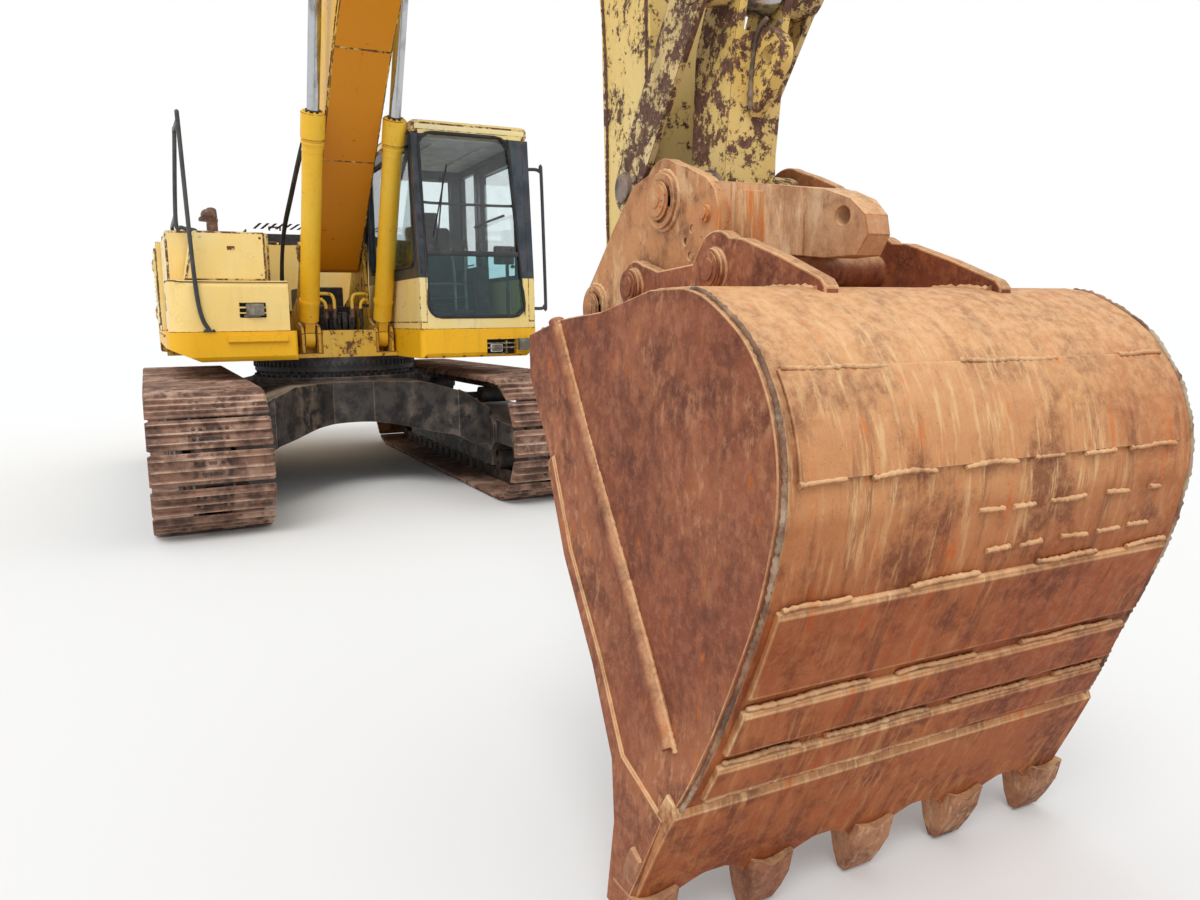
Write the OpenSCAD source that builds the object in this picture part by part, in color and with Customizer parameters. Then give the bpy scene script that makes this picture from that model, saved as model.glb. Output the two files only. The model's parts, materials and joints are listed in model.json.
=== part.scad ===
/* [Tracks] */
// Distance between the middles of the two tracks
track_gauge = 2590; // [2400:10:2800]
// Distance between the idler and sprocket shafts
wheelbase = 3960; // [3600:20:4200]
// Outer radius of a track where it turns, which is half its height
track_r = 515; // [480:5:540]
// Width of a track shoe
shoe_w = 800; // [600:50:800]
// Thickness of a shoe with its grousers
shoe_t = 38; // [30:1:50]
// Height of the chain under a shoe
chain_h = 118; // [100:1:130]
// Number of bottom rollers on each side
bottom_rollers_n = 9; // [7:1:9]

/* [House] */
// Height of the underside of the deck
deck_z = 1185; // [1150:5:1220]
// Height of the top of the side decks
deck_top = 1430; // [1400:5:1450]
// Width of the house
house_w = 2990; // [2900:10:3000]
// Distance from the swing axis to the back of the counterweight
tail_r = 3300; // [3100:10:3400]
// Height of the body panels
panel_top = 2330; // [2250:10:2400]

/* [Cab] */
// Inner side of the cab, nearest the boom
cab_y0 = 430; // [425:5:450]
// Outer side of the cab
cab_y1 = 1465; // [1440:5:1470]
// Back of the cab
cab_x0 = -330; // [-400:10:-300]
// Front of the cab at its floor
cab_x1 = 1560; // [1500:10:1600]
// Height of the cab roof
cab_top = 3150; // [3100:10:3200]
// Thickness of the cab walls
wall_t = 60; // [50:5:70]

/* [Boom and arm] */
// Distance of the boom foot pin in front of the swing axis
foot_x = 120; // [100:10:200]
// Height of the boom foot pin
foot_z = 2150; // [2100:10:2200]
// Length of the boom from pin to pin
boom_len = 6490; // [6400:10:6500]
// Angle of the boom's chord above level as it stands
boom_up = 23.3; // [20:0.1:26]
// Width of the boom
boom_w = 440; // [420:5:460]
// Length of the arm from pin to pin
arm_len = 3185; // [3100:5:3250]
// Direction of the arm as it stands, level forward being 0
arm_dir = -86.8; // [-90:0.1:-80]
// Width of the arm
arm_w = 344; // [320:2:360]

/* [Bucket] */
// Width of the bucket
bucket_w = 1240; // [1100:10:1300]
// Thickness of the bucket's plates
bucket_t = 30; // [20:1:40]
// Number of bucket teeth
teeth_n = 5; // [5:1:5]

/* [Hidden] */
$fn = 48;
gap = 0.3;
half_base = wheelbase / 2;
half_gauge = track_gauge / 2;
half_w = house_w / 2;
axle_z = track_r;
rail_r = track_r - shoe_t - chain_h;
bottom_rail_z = shoe_t + chain_h;
top_rail_z = 2 * track_r - bottom_rail_z;
roller_r = 92;
skirt_in_r = 483;
skirt_in_l = 430;
engine_z = 1500;
// Hinge axes: x, y for the upright ones and x, z for the hood
pump_hinge = [-2380, -1509];
radiator_hinge = [-1330, 1509];
cab_hinge = [250, 1484];
hood_hinge = [-1432, 2350];
door_hinge_z = [1560, 2080];
cab_hinge_z = [1640, 2650];
hood_hinge_y = [-350, 650];
cyl_y = 325;

// A point given in a frame turned by angle a about the point o, in side view
function at(o, a, p) = [o[0] + p[0] * cos(a) - p[1] * sin(a), o[1] + p[0] * sin(a) + p[1] * cos(a)];
function dir(p, q) = atan2(q[1] - p[1], q[0] - p[0]);
function arc(c, r, a0, a1, n) = [for (i = [0:n]) [c[0] + r * cos(a0 + (a1 - a0) * i / n),
    c[1] + r * sin(a0 + (a1 - a0) * i / n)]];

// Pins in side view, x forward and z up
foot = [foot_x, foot_z];
boom_tip = at(foot, boom_up, [boom_len, 0]);
boom_cyl_foot = [560, 1360];
boom_cyl_pin_l = [2370, 1130];
boom_cyl_pin = at(foot, boom_up, boom_cyl_pin_l);
arm_cyl_foot_l = [3400, 1720];
arm_cyl_foot = at(foot, boom_up, arm_cyl_foot_l);
arm_tail_l = [-927, 493];
arm_tail = at(boom_tip, arm_dir, arm_tail_l);
nose_l = [arm_len, 0];
nose = at(boom_tip, arm_dir, nose_l);
link_foot_l = [2804, 150];
link_foot = at(boom_tip, arm_dir, link_foot_l);
bucket_cyl_foot_l = [420, 517];
bucket_cyl_foot = at(boom_tip, arm_dir, bucket_cyl_foot_l);
link_top = [6800, 2470];
coupler_pin = [6715, 1846];
bucket_pin_back = [6620, 1600];
bucket_pin_front = [7060, 1630];

module box(a, b) {
    translate(a) cube(b - a);
}

// A flat plate cut to an outline in side view, from y0 to y1
module plate(points, y0, y1) {
    translate([0, y1, 0]) rotate([90, 0, 0]) linear_extrude(y1 - y0) polygon(points);
}

// A round bar along the machine's width
module bar(p, r, y0, y1) {
    translate([p[0], y1, p[1]]) rotate([90, 0, 0]) cylinder(r = r, h = y1 - y0);
}

module both_sides() {
    children();
    mirror([0, 1, 0]) children();
}

module turned(o, a) {
    translate([o[0], 0, o[1]]) rotate([0, -a, 0]) children();
}

// Undercarriage
module car_body() {
    color("dimgray") {
        difference() {
            union() {
                box([-760, -760, 560], [760, 760, 1010]);
                for (sx = [-1, 1]) {
                    plate([[sx * 500, 560], [sx * 1250, 420], [sx * 1250, 720], [sx * 760, 960], [sx * 500, 960]],
                        -half_gauge + 250, half_gauge - 250);
                }
            }
            box([-560, -1100, 500], [560, 1100, 640]);
            for (sx = [-1, 1]) box([sx * 1010 - 150, -560, 400], [sx * 1010 + 150, 560, 1100]);
            translate([0, 0, 500]) cylinder(r = 180, h = 600);
            for (sx = [-1, 1]) translate([sx * 700, 0, 500]) cylinder(r = 45, h = 800);
        }
    }
}

module track_frame() {
    color("dimgray") {
        plate([[-1500, 350], [1480, 350], [1560, 430], [1560, 600], [1400, 705], [-1400, 705], [-1560, 680],
            [-1560, 400]], -250, 250);
        for (s = [-1, 1]) {
            plate([[1500, 430], [2120, 430], [2120, 600], [1500, 640]], s * 200 - 25, s * 200 + 25);
            box([-1400, s * 190 - 20, 200], [1400, s * 190 + 20, 350]);
        }
        plate([[-1540, 360], [-2180, 380], [-2180, 650], [-1540, 690]], -250, -190);
    }
}

module track_frame_right() {
    translate([0, -half_gauge, 0]) mirror([0, 1, 0]) track_frame();
}

module track_frame_left() {
    translate([0, half_gauge, 0]) track_frame();
}

// A track loop at height h under the lugs' tips, seen from the side
loop_n = 24;
function loop_points(r) = concat(arc([half_base, axle_z], r, -90, 90, loop_n),
    arc([-half_base, axle_z], r, 90, 270, loop_n));

module track() {
    color("sienna") difference() {
        union() {
            difference() {
                plate(loop_points(track_r), -shoe_w / 2, shoe_w / 2);
                plate(loop_points(track_r - shoe_t), -shoe_w, shoe_w);
            }
            for (s = [-1, 1]) difference() {
                plate(loop_points(track_r - shoe_t + 5), s * 85 - 30, s * 85 + 30);
                plate(loop_points(rail_r), s * 85 - 40, s * 85 + 40);
            }
        }
    }
}

module track_right() {
    translate([0, -half_gauge, 0]) track();
}

module track_left() {
    translate([0, half_gauge, 0]) track();
}

module idlers() {
    color("dimgray") both_sides() translate([0, half_gauge, 0]) {
        for (s = [-1, 1]) bar([half_base, axle_z], rail_r * cos(90 / loop_n) - gap, s * 85 - 30, s * 85 + 30);
        bar([half_base, axle_z], rail_r + 20, -50, 50);
        bar([half_base, axle_z], 60, -175, 175);
    }
}

module sprockets() {
    color("dimgray") both_sides() translate([0, half_gauge, 0]) {
        bar([-half_base, axle_z], rail_r + 30, -40, 40);
        bar([-half_base, axle_z], 300, 45 - 6, 300);
        bar([-half_base, axle_z], 260, -190 + gap, -39);
        bar([-half_base, axle_z], 200, -400, -250 - gap);
    }
}

module rollers() {
    color("dimgray") both_sides() translate([0, half_gauge, 0]) {
        for (i = [0:bottom_rollers_n - 1]) {
            p = [-1360 + i * 2720 / (bottom_rollers_n - 1), bottom_rail_z + roller_r + gap];
            bar(p, roller_r, -150, 150);
            bar(p, 40, -170, 170);
        }
        for (x = [-850, 850]) {
            bar([x, top_rail_z - 75 - gap], 75, -130, 130);
            bar([x, top_rail_z - 75 - gap], 30, -250, 160);
            box([x - 40, -250, 705], [x + 40, -200, top_rail_z - 60]);
        }
    }
}

module swing_bearing_base() {
    color("dimgray") {
        difference() {
            translate([0, 0, 1010]) cylinder(r = 696 - gap, h = 150, $fn = 96);
            translate([0, 0, 1000]) cylinder(r = 560, h = 200, $fn = 96);
        }
        translate([0, 0, 700]) cylinder(r = 150, h = 430);
        translate([0, 0, 1010]) cylinder(r = 600, h = 12, $fn = 96);
    }
}

// House
module swing_bearing_ring() {
    color("dimgray") difference() {
        translate([0, 0, 1060]) cylinder(r = 740, h = deck_z - 1060, $fn = 96);
        translate([0, 0, 1000]) cylinder(r = 696, h = 300, $fn = 96);
    }
}

module revolving_frame() {
    color("dimgray") {
        difference() {
            box([-2460, -skirt_in_r, deck_z], [740, skirt_in_l, deck_z + 40]);
            translate([0, 0, 1000]) cylinder(r = 160, h = 400);
        }
        for (s = [-1, 1]) {
            plate(concat([[-2440, deck_z + 40], [700, deck_z + 40], [700, 1400], [650, 1460],
                [480, 1500], [420, 1540], [370, 1800]], arc(foot, 190, -20, 160, 8), [[-400, 1750], [-1200, engine_z], [-2440, engine_z]]),
                s * 252.5 - 17.5, s * 252.5 + 17.5);
            plate([[360, deck_z + 40], [700, deck_z + 40], [700, 1400], [650, 1460], [480, 1500], [400, 1450]],
                s * 395 - 15, s * 395 + 15);
            bar(boom_cyl_foot, 55, s * cyl_y - 85, s * cyl_y + 95);
        }
        bar(foot, 65, -300, 300);
        box([700, -238, deck_z + 40], [740, 238, 1430]);
        for (x = [-1900, -900, 300]) {
            box([x - 15, 12 - half_w, deck_z + 40], [x + 15, -skirt_in_r - 12, deck_top - 30]);
            box([x - 15, skirt_in_l + 12, deck_z + 40], [x + 15, half_w - 12, deck_top - 30]);
        }
    }
}

module deck_skirts() {
    color("gold") difference() {
        union() {
            box([-2460, -half_w, deck_z], [1000, -skirt_in_r, deck_top]);
            box([-2460, skirt_in_l, deck_z], [1560, half_w, deck_top]);
        }
        box([-2500, -half_w + 12, deck_z - 10], [988, -skirt_in_r - 12, deck_top - 30]);
        box([-2500, skirt_in_l + 12, deck_z - 10], [1548, half_w - 12, deck_top - 30]);
    }
}

module counterweight() {
    color("gold") intersection() {
        box([-tail_r, -half_w, deck_z], [-2460, half_w, panel_top + 20]);
        translate([0, 0, 1000]) cylinder(r = tail_r, h = 1500, $fn = 128);
    }
}

module engine_block() {
    color("gray") box([-2250, -600, engine_z], [-1600, 650, 2200]);
}

// The fixed half of an upright hinge: a pin with a lug at each end, y towards the panel
module hinge_pin(p, side) {
    translate([p[0], p[1], p[2]]) {
        cylinder(r = 8, h = 120);
        for (z = [-20, 110]) box([-14, min(0, -side * 24), z], [14, max(0, -side * 24), z + 30]);
    }
}

// The moving half of an upright hinge: a sleeve with a strap to the panel
module hinge_sleeve(p, side) {
    translate([p[0], p[1], p[2] + 16]) difference() {
        union() {
            cylinder(r = 14, h = 88);
            box([0, min(side * 4, -side * 14), 0], [60, max(side * 4, -side * 14), 88]);
        }
        translate([0, 0, -1]) cylinder(r = 8 + gap, h = 90);
    }
}

module engine_bay() {
    color("gold") {
        difference() {
            box([-2440, -half_w + 10, deck_top], [-1380, half_w - 10, panel_top]);
            box([-2400, -half_w + 40, deck_top + 20], [-1410, half_w - 40, panel_top - 30]);
            box([-2380, -600, 2000], [-1440, 900, 2500]);
            box([-2380, -1600, deck_top + 60], [-1440, -1400, panel_top - 60]);
            box([-2500, -620, 1400], [-1300, 670, 1620]);
        }
        difference() {
            box([-1380, 560, deck_top], [-420, half_w - 10, panel_top]);
            box([-1400, 590, deck_top + 20], [-450, half_w - 40, panel_top - 30]);
            box([-1330, 1400, deck_top + 60], [-480, 1600, panel_top - 60]);
        }
        for (z = door_hinge_z) {
            hinge_pin([pump_hinge[0], pump_hinge[1], z], -1);
            hinge_pin([radiator_hinge[0], radiator_hinge[1], z], 1);
        }
        for (y = hood_hinge_y) {
            bar(hood_hinge, 8, y - 60, y + 60);
            for (e = [-1, 1]) box([hood_hinge[0] - 10, y + e * 60 - 14, panel_top - 10],
                [hood_hinge[0] + 20, y + e * 60 + 14, hood_hinge[1] + 10]);
        }
    }
}

module tool_box() {
    color("gold") {
        box([400, -1465, deck_top], [980, -495, 1850]);
        box([400, -1305, 1850], [900, -655, 2250]);
    }
}

module fuel_tank() {
    color("gold") box([-600, -1440, deck_top], [390, -600, 2290]);
}

module hydraulic_tank() {
    color("gold") box([-1370, -1440, deck_top], [-610, -600, 2330]);
}

module control_valve() {
    color("dimgray") {
        box([-1300, -200, deck_z + 40], [-500, 200, 1850]);
        box([-440, -200, deck_z + 40], [0, 200, 1650]);
    }
}

module exhaust() {
    color("dimgray") {
        translate([-1900, -900, panel_top]) cylinder(r = 60, h = 380);
    }
}

module handrails() {
    color("dimgray") {
        for (y = [-1380, -1180]) {
            translate([940, y, 1850]) cylinder(r = 16, h = 600);
        }
        translate([1440, 1510, 1600]) cylinder(r = 16, h = 1200);
        for (z = [1600, 2780]) box([1430, cab_y1, z], [1450, 1510, z + 20]);
    }
}

module work_lamps() {
    color("silver") {
        box([1560, 1290, 1240], [1620, 1400, 1340]);
        box([980, -880, 1560], [1010, -740, 1660]);
    }
}

// Cab
module cab_floor() {
    color("dimgray") box([cab_x0, cab_y0, deck_top], [cab_x1, cab_y1, deck_top + 60]);
}

module cab_side(y0, y1) {
    plate([[cab_x0, deck_top + 60], [cab_x1, deck_top + 60], [cab_x1, 1850], [cab_x1 - 90, cab_top - 110],
        [cab_x0, cab_top - 110]], y0, y1);
}

module cab_front() {
    color("gold") {
        difference() {
            intersection() {
                cab_side(cab_y0 + wall_t, cab_y1 - wall_t);
                plate([[cab_x1 - 70, deck_top], [cab_x1 + 10, deck_top], [cab_x1 + 10, 1850],
                    [cab_x1 - 80, cab_top], [cab_x1 - 150, cab_top], [cab_x1 - 60, 1850]], cab_y0, cab_y1);
            }
            box([1200, cab_y0 + 110, 1620], [1700, cab_y1 - 110, cab_top - 160]);
        }
    }
}

module cab_left() {
    color("gold") difference() {
        cab_side(cab_y1 - wall_t, cab_y1);
        box([258, cab_y1 - 100, deck_top + 100], [1320, cab_y1 + 50, cab_top - 180]);
        box([cab_x0 + 80, cab_y1 - 100, 2000], [170, cab_y1 + 50, cab_top - 200]);
    }
    color("gold") for (z = cab_hinge_z) hinge_pin([cab_hinge[0] - 8, cab_hinge[1], z], 1);
}

module cab_right() {
    color("gold") difference() {
        cab_side(cab_y0, cab_y0 + wall_t);
        box([cab_x0 + 100, cab_y0 - 50, 1960], [1360, cab_y0 + 100, cab_top - 200]);
    }
}

module cab_back() {
    color("gold") difference() {
        box([cab_x0, cab_y0 + wall_t, deck_top + 60], [cab_x0 + wall_t, cab_y1 - wall_t, cab_top - 110]);
        box([cab_x0 - 50, cab_y0 + 160, 2050], [cab_x0 + 100, cab_y1 - 160, cab_top - 220]);
    }
}

module cab_roof() {
    color("gold") box([cab_x0, cab_y0, cab_top - 110], [cab_x1 - 90, cab_y1, cab_top]);
}

module cab_glass() {
    color("lightblue") {
        box([cab_x0 + 25, cab_y0 + 160, 2050], [cab_x0 + 31, cab_y1 - 160, cab_top - 220]);
        box([cab_x0 + 100, cab_y0 + 25, 1960], [1360, cab_y0 + 31, cab_top - 200]);
        box([cab_x0 + 80, cab_y1 - 31, 2000], [170, cab_y1 - 25, cab_top - 200]);
    }
}

module seat() {
    color("dimgray") {
        box([200, 720, deck_top + 60], [700, 1150, 1700]);
        box([180, 700, 1700], [760, 1170, 1860]);
        box([100, 710, 1860 + gap], [230, 1160, 2500]);
    }
}

module consoles() {
    color("dimgray") {
        for (y = [560, 1200]) box([200, y, deck_top + 60], [800, y + 120, 2000]);
    }
}

module cab_door() {
    color("gold") {
        difference() {
            box([266, cab_y1 - 55, deck_top + 108], [1310, cab_y1 + 5, cab_top - 188]);
            box([340, cab_y1 - 100, 1900], [1230, cab_y1 + 50, cab_top - 260]);
        }
        for (z = cab_hinge_z) hinge_sleeve([cab_hinge[0] - 8, cab_hinge[1], z], 1);
    }
}

module cab_door_glass() {
    color("lightblue") box([340, cab_y1 - 31, 1900], [1230, cab_y1 - 25, cab_top - 260]);
}

module engine_hood() {
    color("dimgray") {
        box([-2370, -590, panel_top - 10], [-1452, 890, panel_top + 120]);
        for (y = hood_hinge_y) difference() {
            union() {
                bar(hood_hinge, 14, y - 40, y + 40);
                box([hood_hinge[0] - 22, y - 40, hood_hinge[1] - 6], [hood_hinge[0], y + 40, hood_hinge[1] + 14]);
            }
            bar(hood_hinge, 8 + gap, y - 50, y + 50);
        }
    }
}

module pump_door() {
    color("gold") {
        box([-2362, -half_w - 5, deck_top + 70], [-1450, -half_w + 35, panel_top - 70]);
        for (z = door_hinge_z) hinge_sleeve([pump_hinge[0], pump_hinge[1], z], -1);
    }
}

module radiator_door() {
    color("gold") {
        box([-1312, half_w - 35, deck_top + 70], [-490, half_w + 5, panel_top - 70]);
        for (z = door_hinge_z) hinge_sleeve([radiator_hinge[0], radiator_hinge[1], z], 1);
    }
}

// Boom
module boom() {
    color("gold") turned(foot, boom_up) {
        difference() {
            union() {
                plate(concat(arc([0, 0], 185, 120, 280, 8), [[2100, 620], [2700, 760], [3300, 720]],
                    arc([boom_len, 0], 180, -100, 80, 8),
                        [[5600, 440], [3600, 1470], [3000, 1640], [2400, 1600]]),
                    -boom_w / 2, boom_w / 2);
                bar(boom_cyl_pin_l, 150, -224, 224);
                bar([boom_len, 0], 180, -250, 250);
                for (s = [-1, 1]) {
                    plate(concat([[2950, 1500], [3560, 1390]], arc(arm_cyl_foot_l, 120, 0, 180, 8)),
                        s * 100 - 25, s * 100 + 25);
                }
            }
            bar([0, 0], 65 + gap, -400, 400);
            bar([boom_len, 0], 60 + gap, -400, 400);
            plate(concat(arc([boom_len, 0], 600, 90, 270, 10), [[boom_len + 400, -600], [boom_len + 400, 600]]),
                -arm_w / 2 - 8, arm_w / 2 + 8);
        }
        bar(arm_cyl_foot_l, 55, -125, 125);
    }
}

module boom_pipes() {
    color("gold") turned(foot, boom_up) {
        bar([1200, 700], 20, -300, -220);
    }
}

module barrel(len, r, y, eye_w, head_r, head_len, start) {
    difference() {
        union() {
            bar([0, 0], r * 1.15, y - eye_w / 2, y + eye_w / 2);
            translate([0, y - eye_w / 2, -r * 0.7]) cube([start + 15, eye_w, r * 1.4]);
            translate([start, y, 0]) rotate([0, 90, 0]) cylinder(r = r, h = len - start);
            translate([len - head_len, y, 0]) rotate([0, 90, 0]) cylinder(r = head_r, h = head_len);
        }
        translate([200, y, 0]) rotate([0, 90, 0]) cylinder(r = r - 14, h = len - 200 - head_len);
        translate([200, y, 0]) rotate([0, 90, 0]) cylinder(r = rod_r_of(r), h = len);
        bar([0, 0], 55 + gap, y - 200, y + 200);
    }
}

function rod_r_of(r) = r * 0.6 + gap;

// A rod whose eye is at distance far from the foot pin and whose piston is at distance near
module rod(far, near, r, y, eye_w, eye_r) {
    translate([near, y, 0]) rotate([0, 90, 0]) cylinder(r = r * 0.6, h = far - near - eye_r * 0.5);
    translate([near, y, 0]) rotate([0, 90, 0]) cylinder(r = r - 14 - gap, h = 60);
    bar([far, 0], eye_r, y - eye_w / 2, y + eye_w / 2);
}

module boom_cylinder_barrels() {
    color("gold") turned(boom_cyl_foot, dir(boom_cyl_foot, boom_cyl_pin)) {
        for (s = [-1, 1]) barrel(1970, 82, s * cyl_y, 90, 96, 200, 175);
    }
}

module boom_cylinder_rods() {
    color("silver") turned(boom_cyl_foot, dir(boom_cyl_foot, boom_cyl_pin)) {
        far = norm(boom_cyl_pin - boom_cyl_foot);
        for (s = [-1, 1]) {
            rod(far, 1130, 82, s * cyl_y, 90, 115);
            bar([far, 0], 90, s * 255 - 26, s * 255 + 26);
        }
    }
}

module arm_cylinder_barrel() {
    color("gold") turned(arm_cyl_foot, dir(arm_cyl_foot, arm_tail)) barrel(2340, 95, 0, 140, 115, 200, 185);
}

module arm_cylinder_rod() {
    color("silver") turned(arm_cyl_foot, dir(arm_cyl_foot, arm_tail)) {
        rod(norm(arm_tail - arm_cyl_foot), 1605, 95, 0, 130, 125);
    }
}

module arm() {
    color("gold") {
        turned(boom_tip, arm_dir) {
            difference() {
                union() {
                    plate(concat([[900, -225]], arc([0, 0], 190, 280, 190, 6), arc(arm_tail_l, 140, 225, 30, 8),
                        [[-300, 560], [200, 560], [460, 400], [2600, 190]], arc(link_foot_l, 110, 80, 40, 2),
                        arc(nose_l, 120, 60, -90, 8), [[2900, -150]]), -arm_w / 2, arm_w / 2);
                    for (s = [-1, 1]) {
                        plate(concat([[200, 350], [540, 350]], arc(bucket_cyl_foot_l, 120, 20, 160, 6)),
                            s * 100 - 25, s * 100 + 25);
                    }
                }
                bar(nose_l, 50 + gap, -400, 400);
                bar(arm_tail_l, 420, -75, 75);
                bar(bucket_cyl_foot_l, 190, -75, 75);
            }
            bar([0, 0], 60, -270, 270);
            bar(link_foot_l, 45, -226, 226);
            bar(bucket_cyl_foot_l, 55, -130, 130);
        }
    }
}

module bucket_cylinder_barrel() {
    color("gold") turned(bucket_cyl_foot, dir(bucket_cyl_foot, link_top)) barrel(1660, 84, 0, 130, 100, 120, 165);
}

module bucket_cylinder_rod() {
    color("silver") turned(bucket_cyl_foot, dir(bucket_cyl_foot, link_top)) {
        rod(norm(link_top - bucket_cyl_foot), 270, 84, 0, 110, 100);
    }
}

// A straight link with round ends
module link(p, q, r, y0, y1) {
    a = dir(p, q);
    plate(concat(arc(p, r, a + 90, a + 270, 8), arc(q, r, a - 90, a + 90, 8)), y0, y1);
}

module side_links() {
    color("gold") for (s = [-1, 1]) difference() {
        link(link_foot, link_top, 95, s * 204 - 22, s * 204 + 22);
        bar(link_foot, 45 + gap, -400, 400);
    }
}

module h_link() {
    color("gold") difference() {
        union() {
            for (s = [-1, 1]) link(coupler_pin, link_top, 90, s * 125 - 50, s * 125 + 50);
            bar(coupler_pin, 90, -230, 230);
            box([6690, -80, 1950], [6820, 80, 2180]);
        }
        bar(coupler_pin, 45 + gap, -400, 400);
    }
}

module quick_coupler() {
    color("chocolate") {
        for (s = [-1, 1]) difference() {
            plate([[6180, 1440], [6535, 1420], [6560, 1482], [7150, 1575], [7180, 1700], [6860, 1800],
                [6780, 1930], [6650, 1940], [6180, 1660]], s * 263 - 27, s * 263 + 27);
            bar(bucket_pin_front, 45 + gap, -400, 400);
            bar(bucket_pin_back, 45 + gap, -400, 400);
        }
        box([6690, -236, 1560], [6980, 236, 1680]);
        bar(nose, 50, -300, 300);
        bar(coupler_pin, 45, -300, 300);
    }
}

bucket_outer = [[6560, 1460], [6800, 1510], [7285, 1572], [7496, 1537], [7640, 1460], [7735, 1340],
    [7765, 1190], [7720, 1000], [7568, 750], [7416, 420], [7330, 200], [7250, 180], [7160, 330],
    [6824, 850], [6560, 1340]];

module bucket() {
    color("chocolate") {
        difference() {
            plate(bucket_outer, -bucket_w / 2, bucket_w / 2);
            plate([[6400, 1425], [6810, 1470], [7285, 1532], [7480, 1500], [7610, 1430], [7700, 1320],
                [7725, 1190], [7682, 1015], [7530, 770], [7376, 430], [7295, 210], [7240, 100], [6800, 300],
                [6400, 1000]], -bucket_w / 2 + bucket_t, bucket_w / 2 - bucket_t);
        }
        for (s = [-1, 1]) {
            plate([[6545, 1440], [6800, 1500], [7300, 1565], [7160, 1690], [7060, 1720], [6980, 1690],
                [6620, 1670], [6550, 1620]], s * 325 - 22, s * 325 + 22);
        }
        bar(bucket_pin_front, 45, -360, 360);
        bar(bucket_pin_back, 45, -360, 360);
    }
}

module bucket_teeth() {
    color("chocolate") for (i = [0:teeth_n - 1]) {
        y = (i - (teeth_n - 1) / 2) * (bucket_w - 90) / (teeth_n - 1);
        plate([[7330, 200], [7250, 180], [7300, 0], [7335, 0]], y - 45, y + 45);
    }
}

car_body();
track_frame_right();
track_frame_left();
track_right();
track_left();
idlers();
sprockets();
rollers();
swing_bearing_base();
swing_bearing_ring();
revolving_frame();
deck_skirts();
counterweight();
engine_block();
engine_bay();
tool_box();
fuel_tank();
hydraulic_tank();
control_valve();
exhaust();
handrails();
work_lamps();
cab_floor();
cab_front();
cab_left();
cab_right();
cab_back();
cab_roof();
cab_glass();
seat();
consoles();
cab_door();
cab_door_glass();
engine_hood();
pump_door();
radiator_door();
boom();
boom_pipes();
boom_cylinder_barrels();
boom_cylinder_rods();
arm_cylinder_barrel();
arm_cylinder_rod();
arm();
bucket_cylinder_barrel();
bucket_cylinder_rod();
side_links();
h_link();
quick_coupler();
bucket();
bucket_teeth();
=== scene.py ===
import bpy
import bmesh
import json
import math
import random
from mathutils import Matrix, Vector


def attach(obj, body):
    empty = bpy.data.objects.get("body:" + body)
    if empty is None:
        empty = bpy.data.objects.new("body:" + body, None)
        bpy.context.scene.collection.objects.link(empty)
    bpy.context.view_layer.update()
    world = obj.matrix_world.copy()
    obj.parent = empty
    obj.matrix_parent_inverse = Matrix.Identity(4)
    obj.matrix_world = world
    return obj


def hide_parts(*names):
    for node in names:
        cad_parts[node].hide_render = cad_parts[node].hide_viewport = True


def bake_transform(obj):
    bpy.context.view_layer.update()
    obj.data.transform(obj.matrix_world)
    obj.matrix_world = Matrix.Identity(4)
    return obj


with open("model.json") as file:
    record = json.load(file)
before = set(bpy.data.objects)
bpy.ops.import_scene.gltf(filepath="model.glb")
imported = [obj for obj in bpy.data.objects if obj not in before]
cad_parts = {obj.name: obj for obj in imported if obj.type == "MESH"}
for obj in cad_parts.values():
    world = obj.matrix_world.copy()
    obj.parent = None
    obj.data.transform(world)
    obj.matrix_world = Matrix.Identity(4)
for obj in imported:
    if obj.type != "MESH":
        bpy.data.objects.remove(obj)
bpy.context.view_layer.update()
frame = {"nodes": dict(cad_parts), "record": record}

# Camera: it stands low in front of the bucket, to the right of the machine's nose, and looks
# back along the boom at the house. Place and turn come from a fit of the pins and edges.
cam_yaw, cam_pitch, cam_roll = 0.460712, -0.144769, -0.011794
cam_place = (9.084256, -1.642175, 1.506898)
look = Vector((-math.cos(cam_yaw) * math.cos(cam_pitch), math.sin(cam_yaw) * math.cos(cam_pitch),
               math.sin(cam_pitch)))
level_right = look.cross(Vector((0, 0, 1))).normalized()
level_up = level_right.cross(look)
cam_right = level_right * math.cos(cam_roll) + level_up * math.sin(cam_roll)
cam_up = level_up * math.cos(cam_roll) - level_right * math.sin(cam_roll)
camera = bpy.data.objects.new("camera", bpy.data.cameras.new("camera"))
bpy.context.scene.collection.objects.link(camera)
camera.matrix_world = Matrix((*zip(cam_right, cam_up, -look, cam_place), (0, 0, 0, 1)))
camera.data.sensor_fit = "HORIZONTAL"
camera.data.sensor_width = 36
camera.data.lens = 27.148
camera.data.clip_start = 0.05
camera.data.clip_end = 500
bpy.context.scene.camera = camera
bpy.context.scene.view_settings.view_transform = "Standard"

# Floor and light: a plain pale yard floor under an even, overcast white sky, with one wide
# soft lamp from above the camera's shoulder. Nothing here belongs to the machine.
floor_mesh = bmesh.new()
bmesh.ops.create_grid(floor_mesh, x_segments=2, y_segments=2, size=90)
floor_data = bpy.data.meshes.new("floor")
floor_mesh.to_mesh(floor_data)
floor = bpy.data.objects.new("floor", floor_data)
bpy.context.scene.collection.objects.link(floor)
floor_paint = bpy.data.materials.new("pale_floor")
floor_paint.use_nodes = True
floor_shader = floor_paint.node_tree.nodes["Principled BSDF"]
floor_shader.inputs["Base Color"].default_value = (0.74, 0.74, 0.73, 1)
floor_shader.inputs["Roughness"].default_value = 0.95
floor_data.materials.append(floor_paint)
sky = bpy.data.worlds.new("white_sky")
sky.use_nodes = True
bpy.context.scene.world = sky
sky_nodes, sky_links = sky.node_tree.nodes, sky.node_tree.links
sky_nodes.clear()
sky_out = sky_nodes.new("ShaderNodeOutputWorld")
sky_seen = sky_nodes.new("ShaderNodeBackground")
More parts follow.
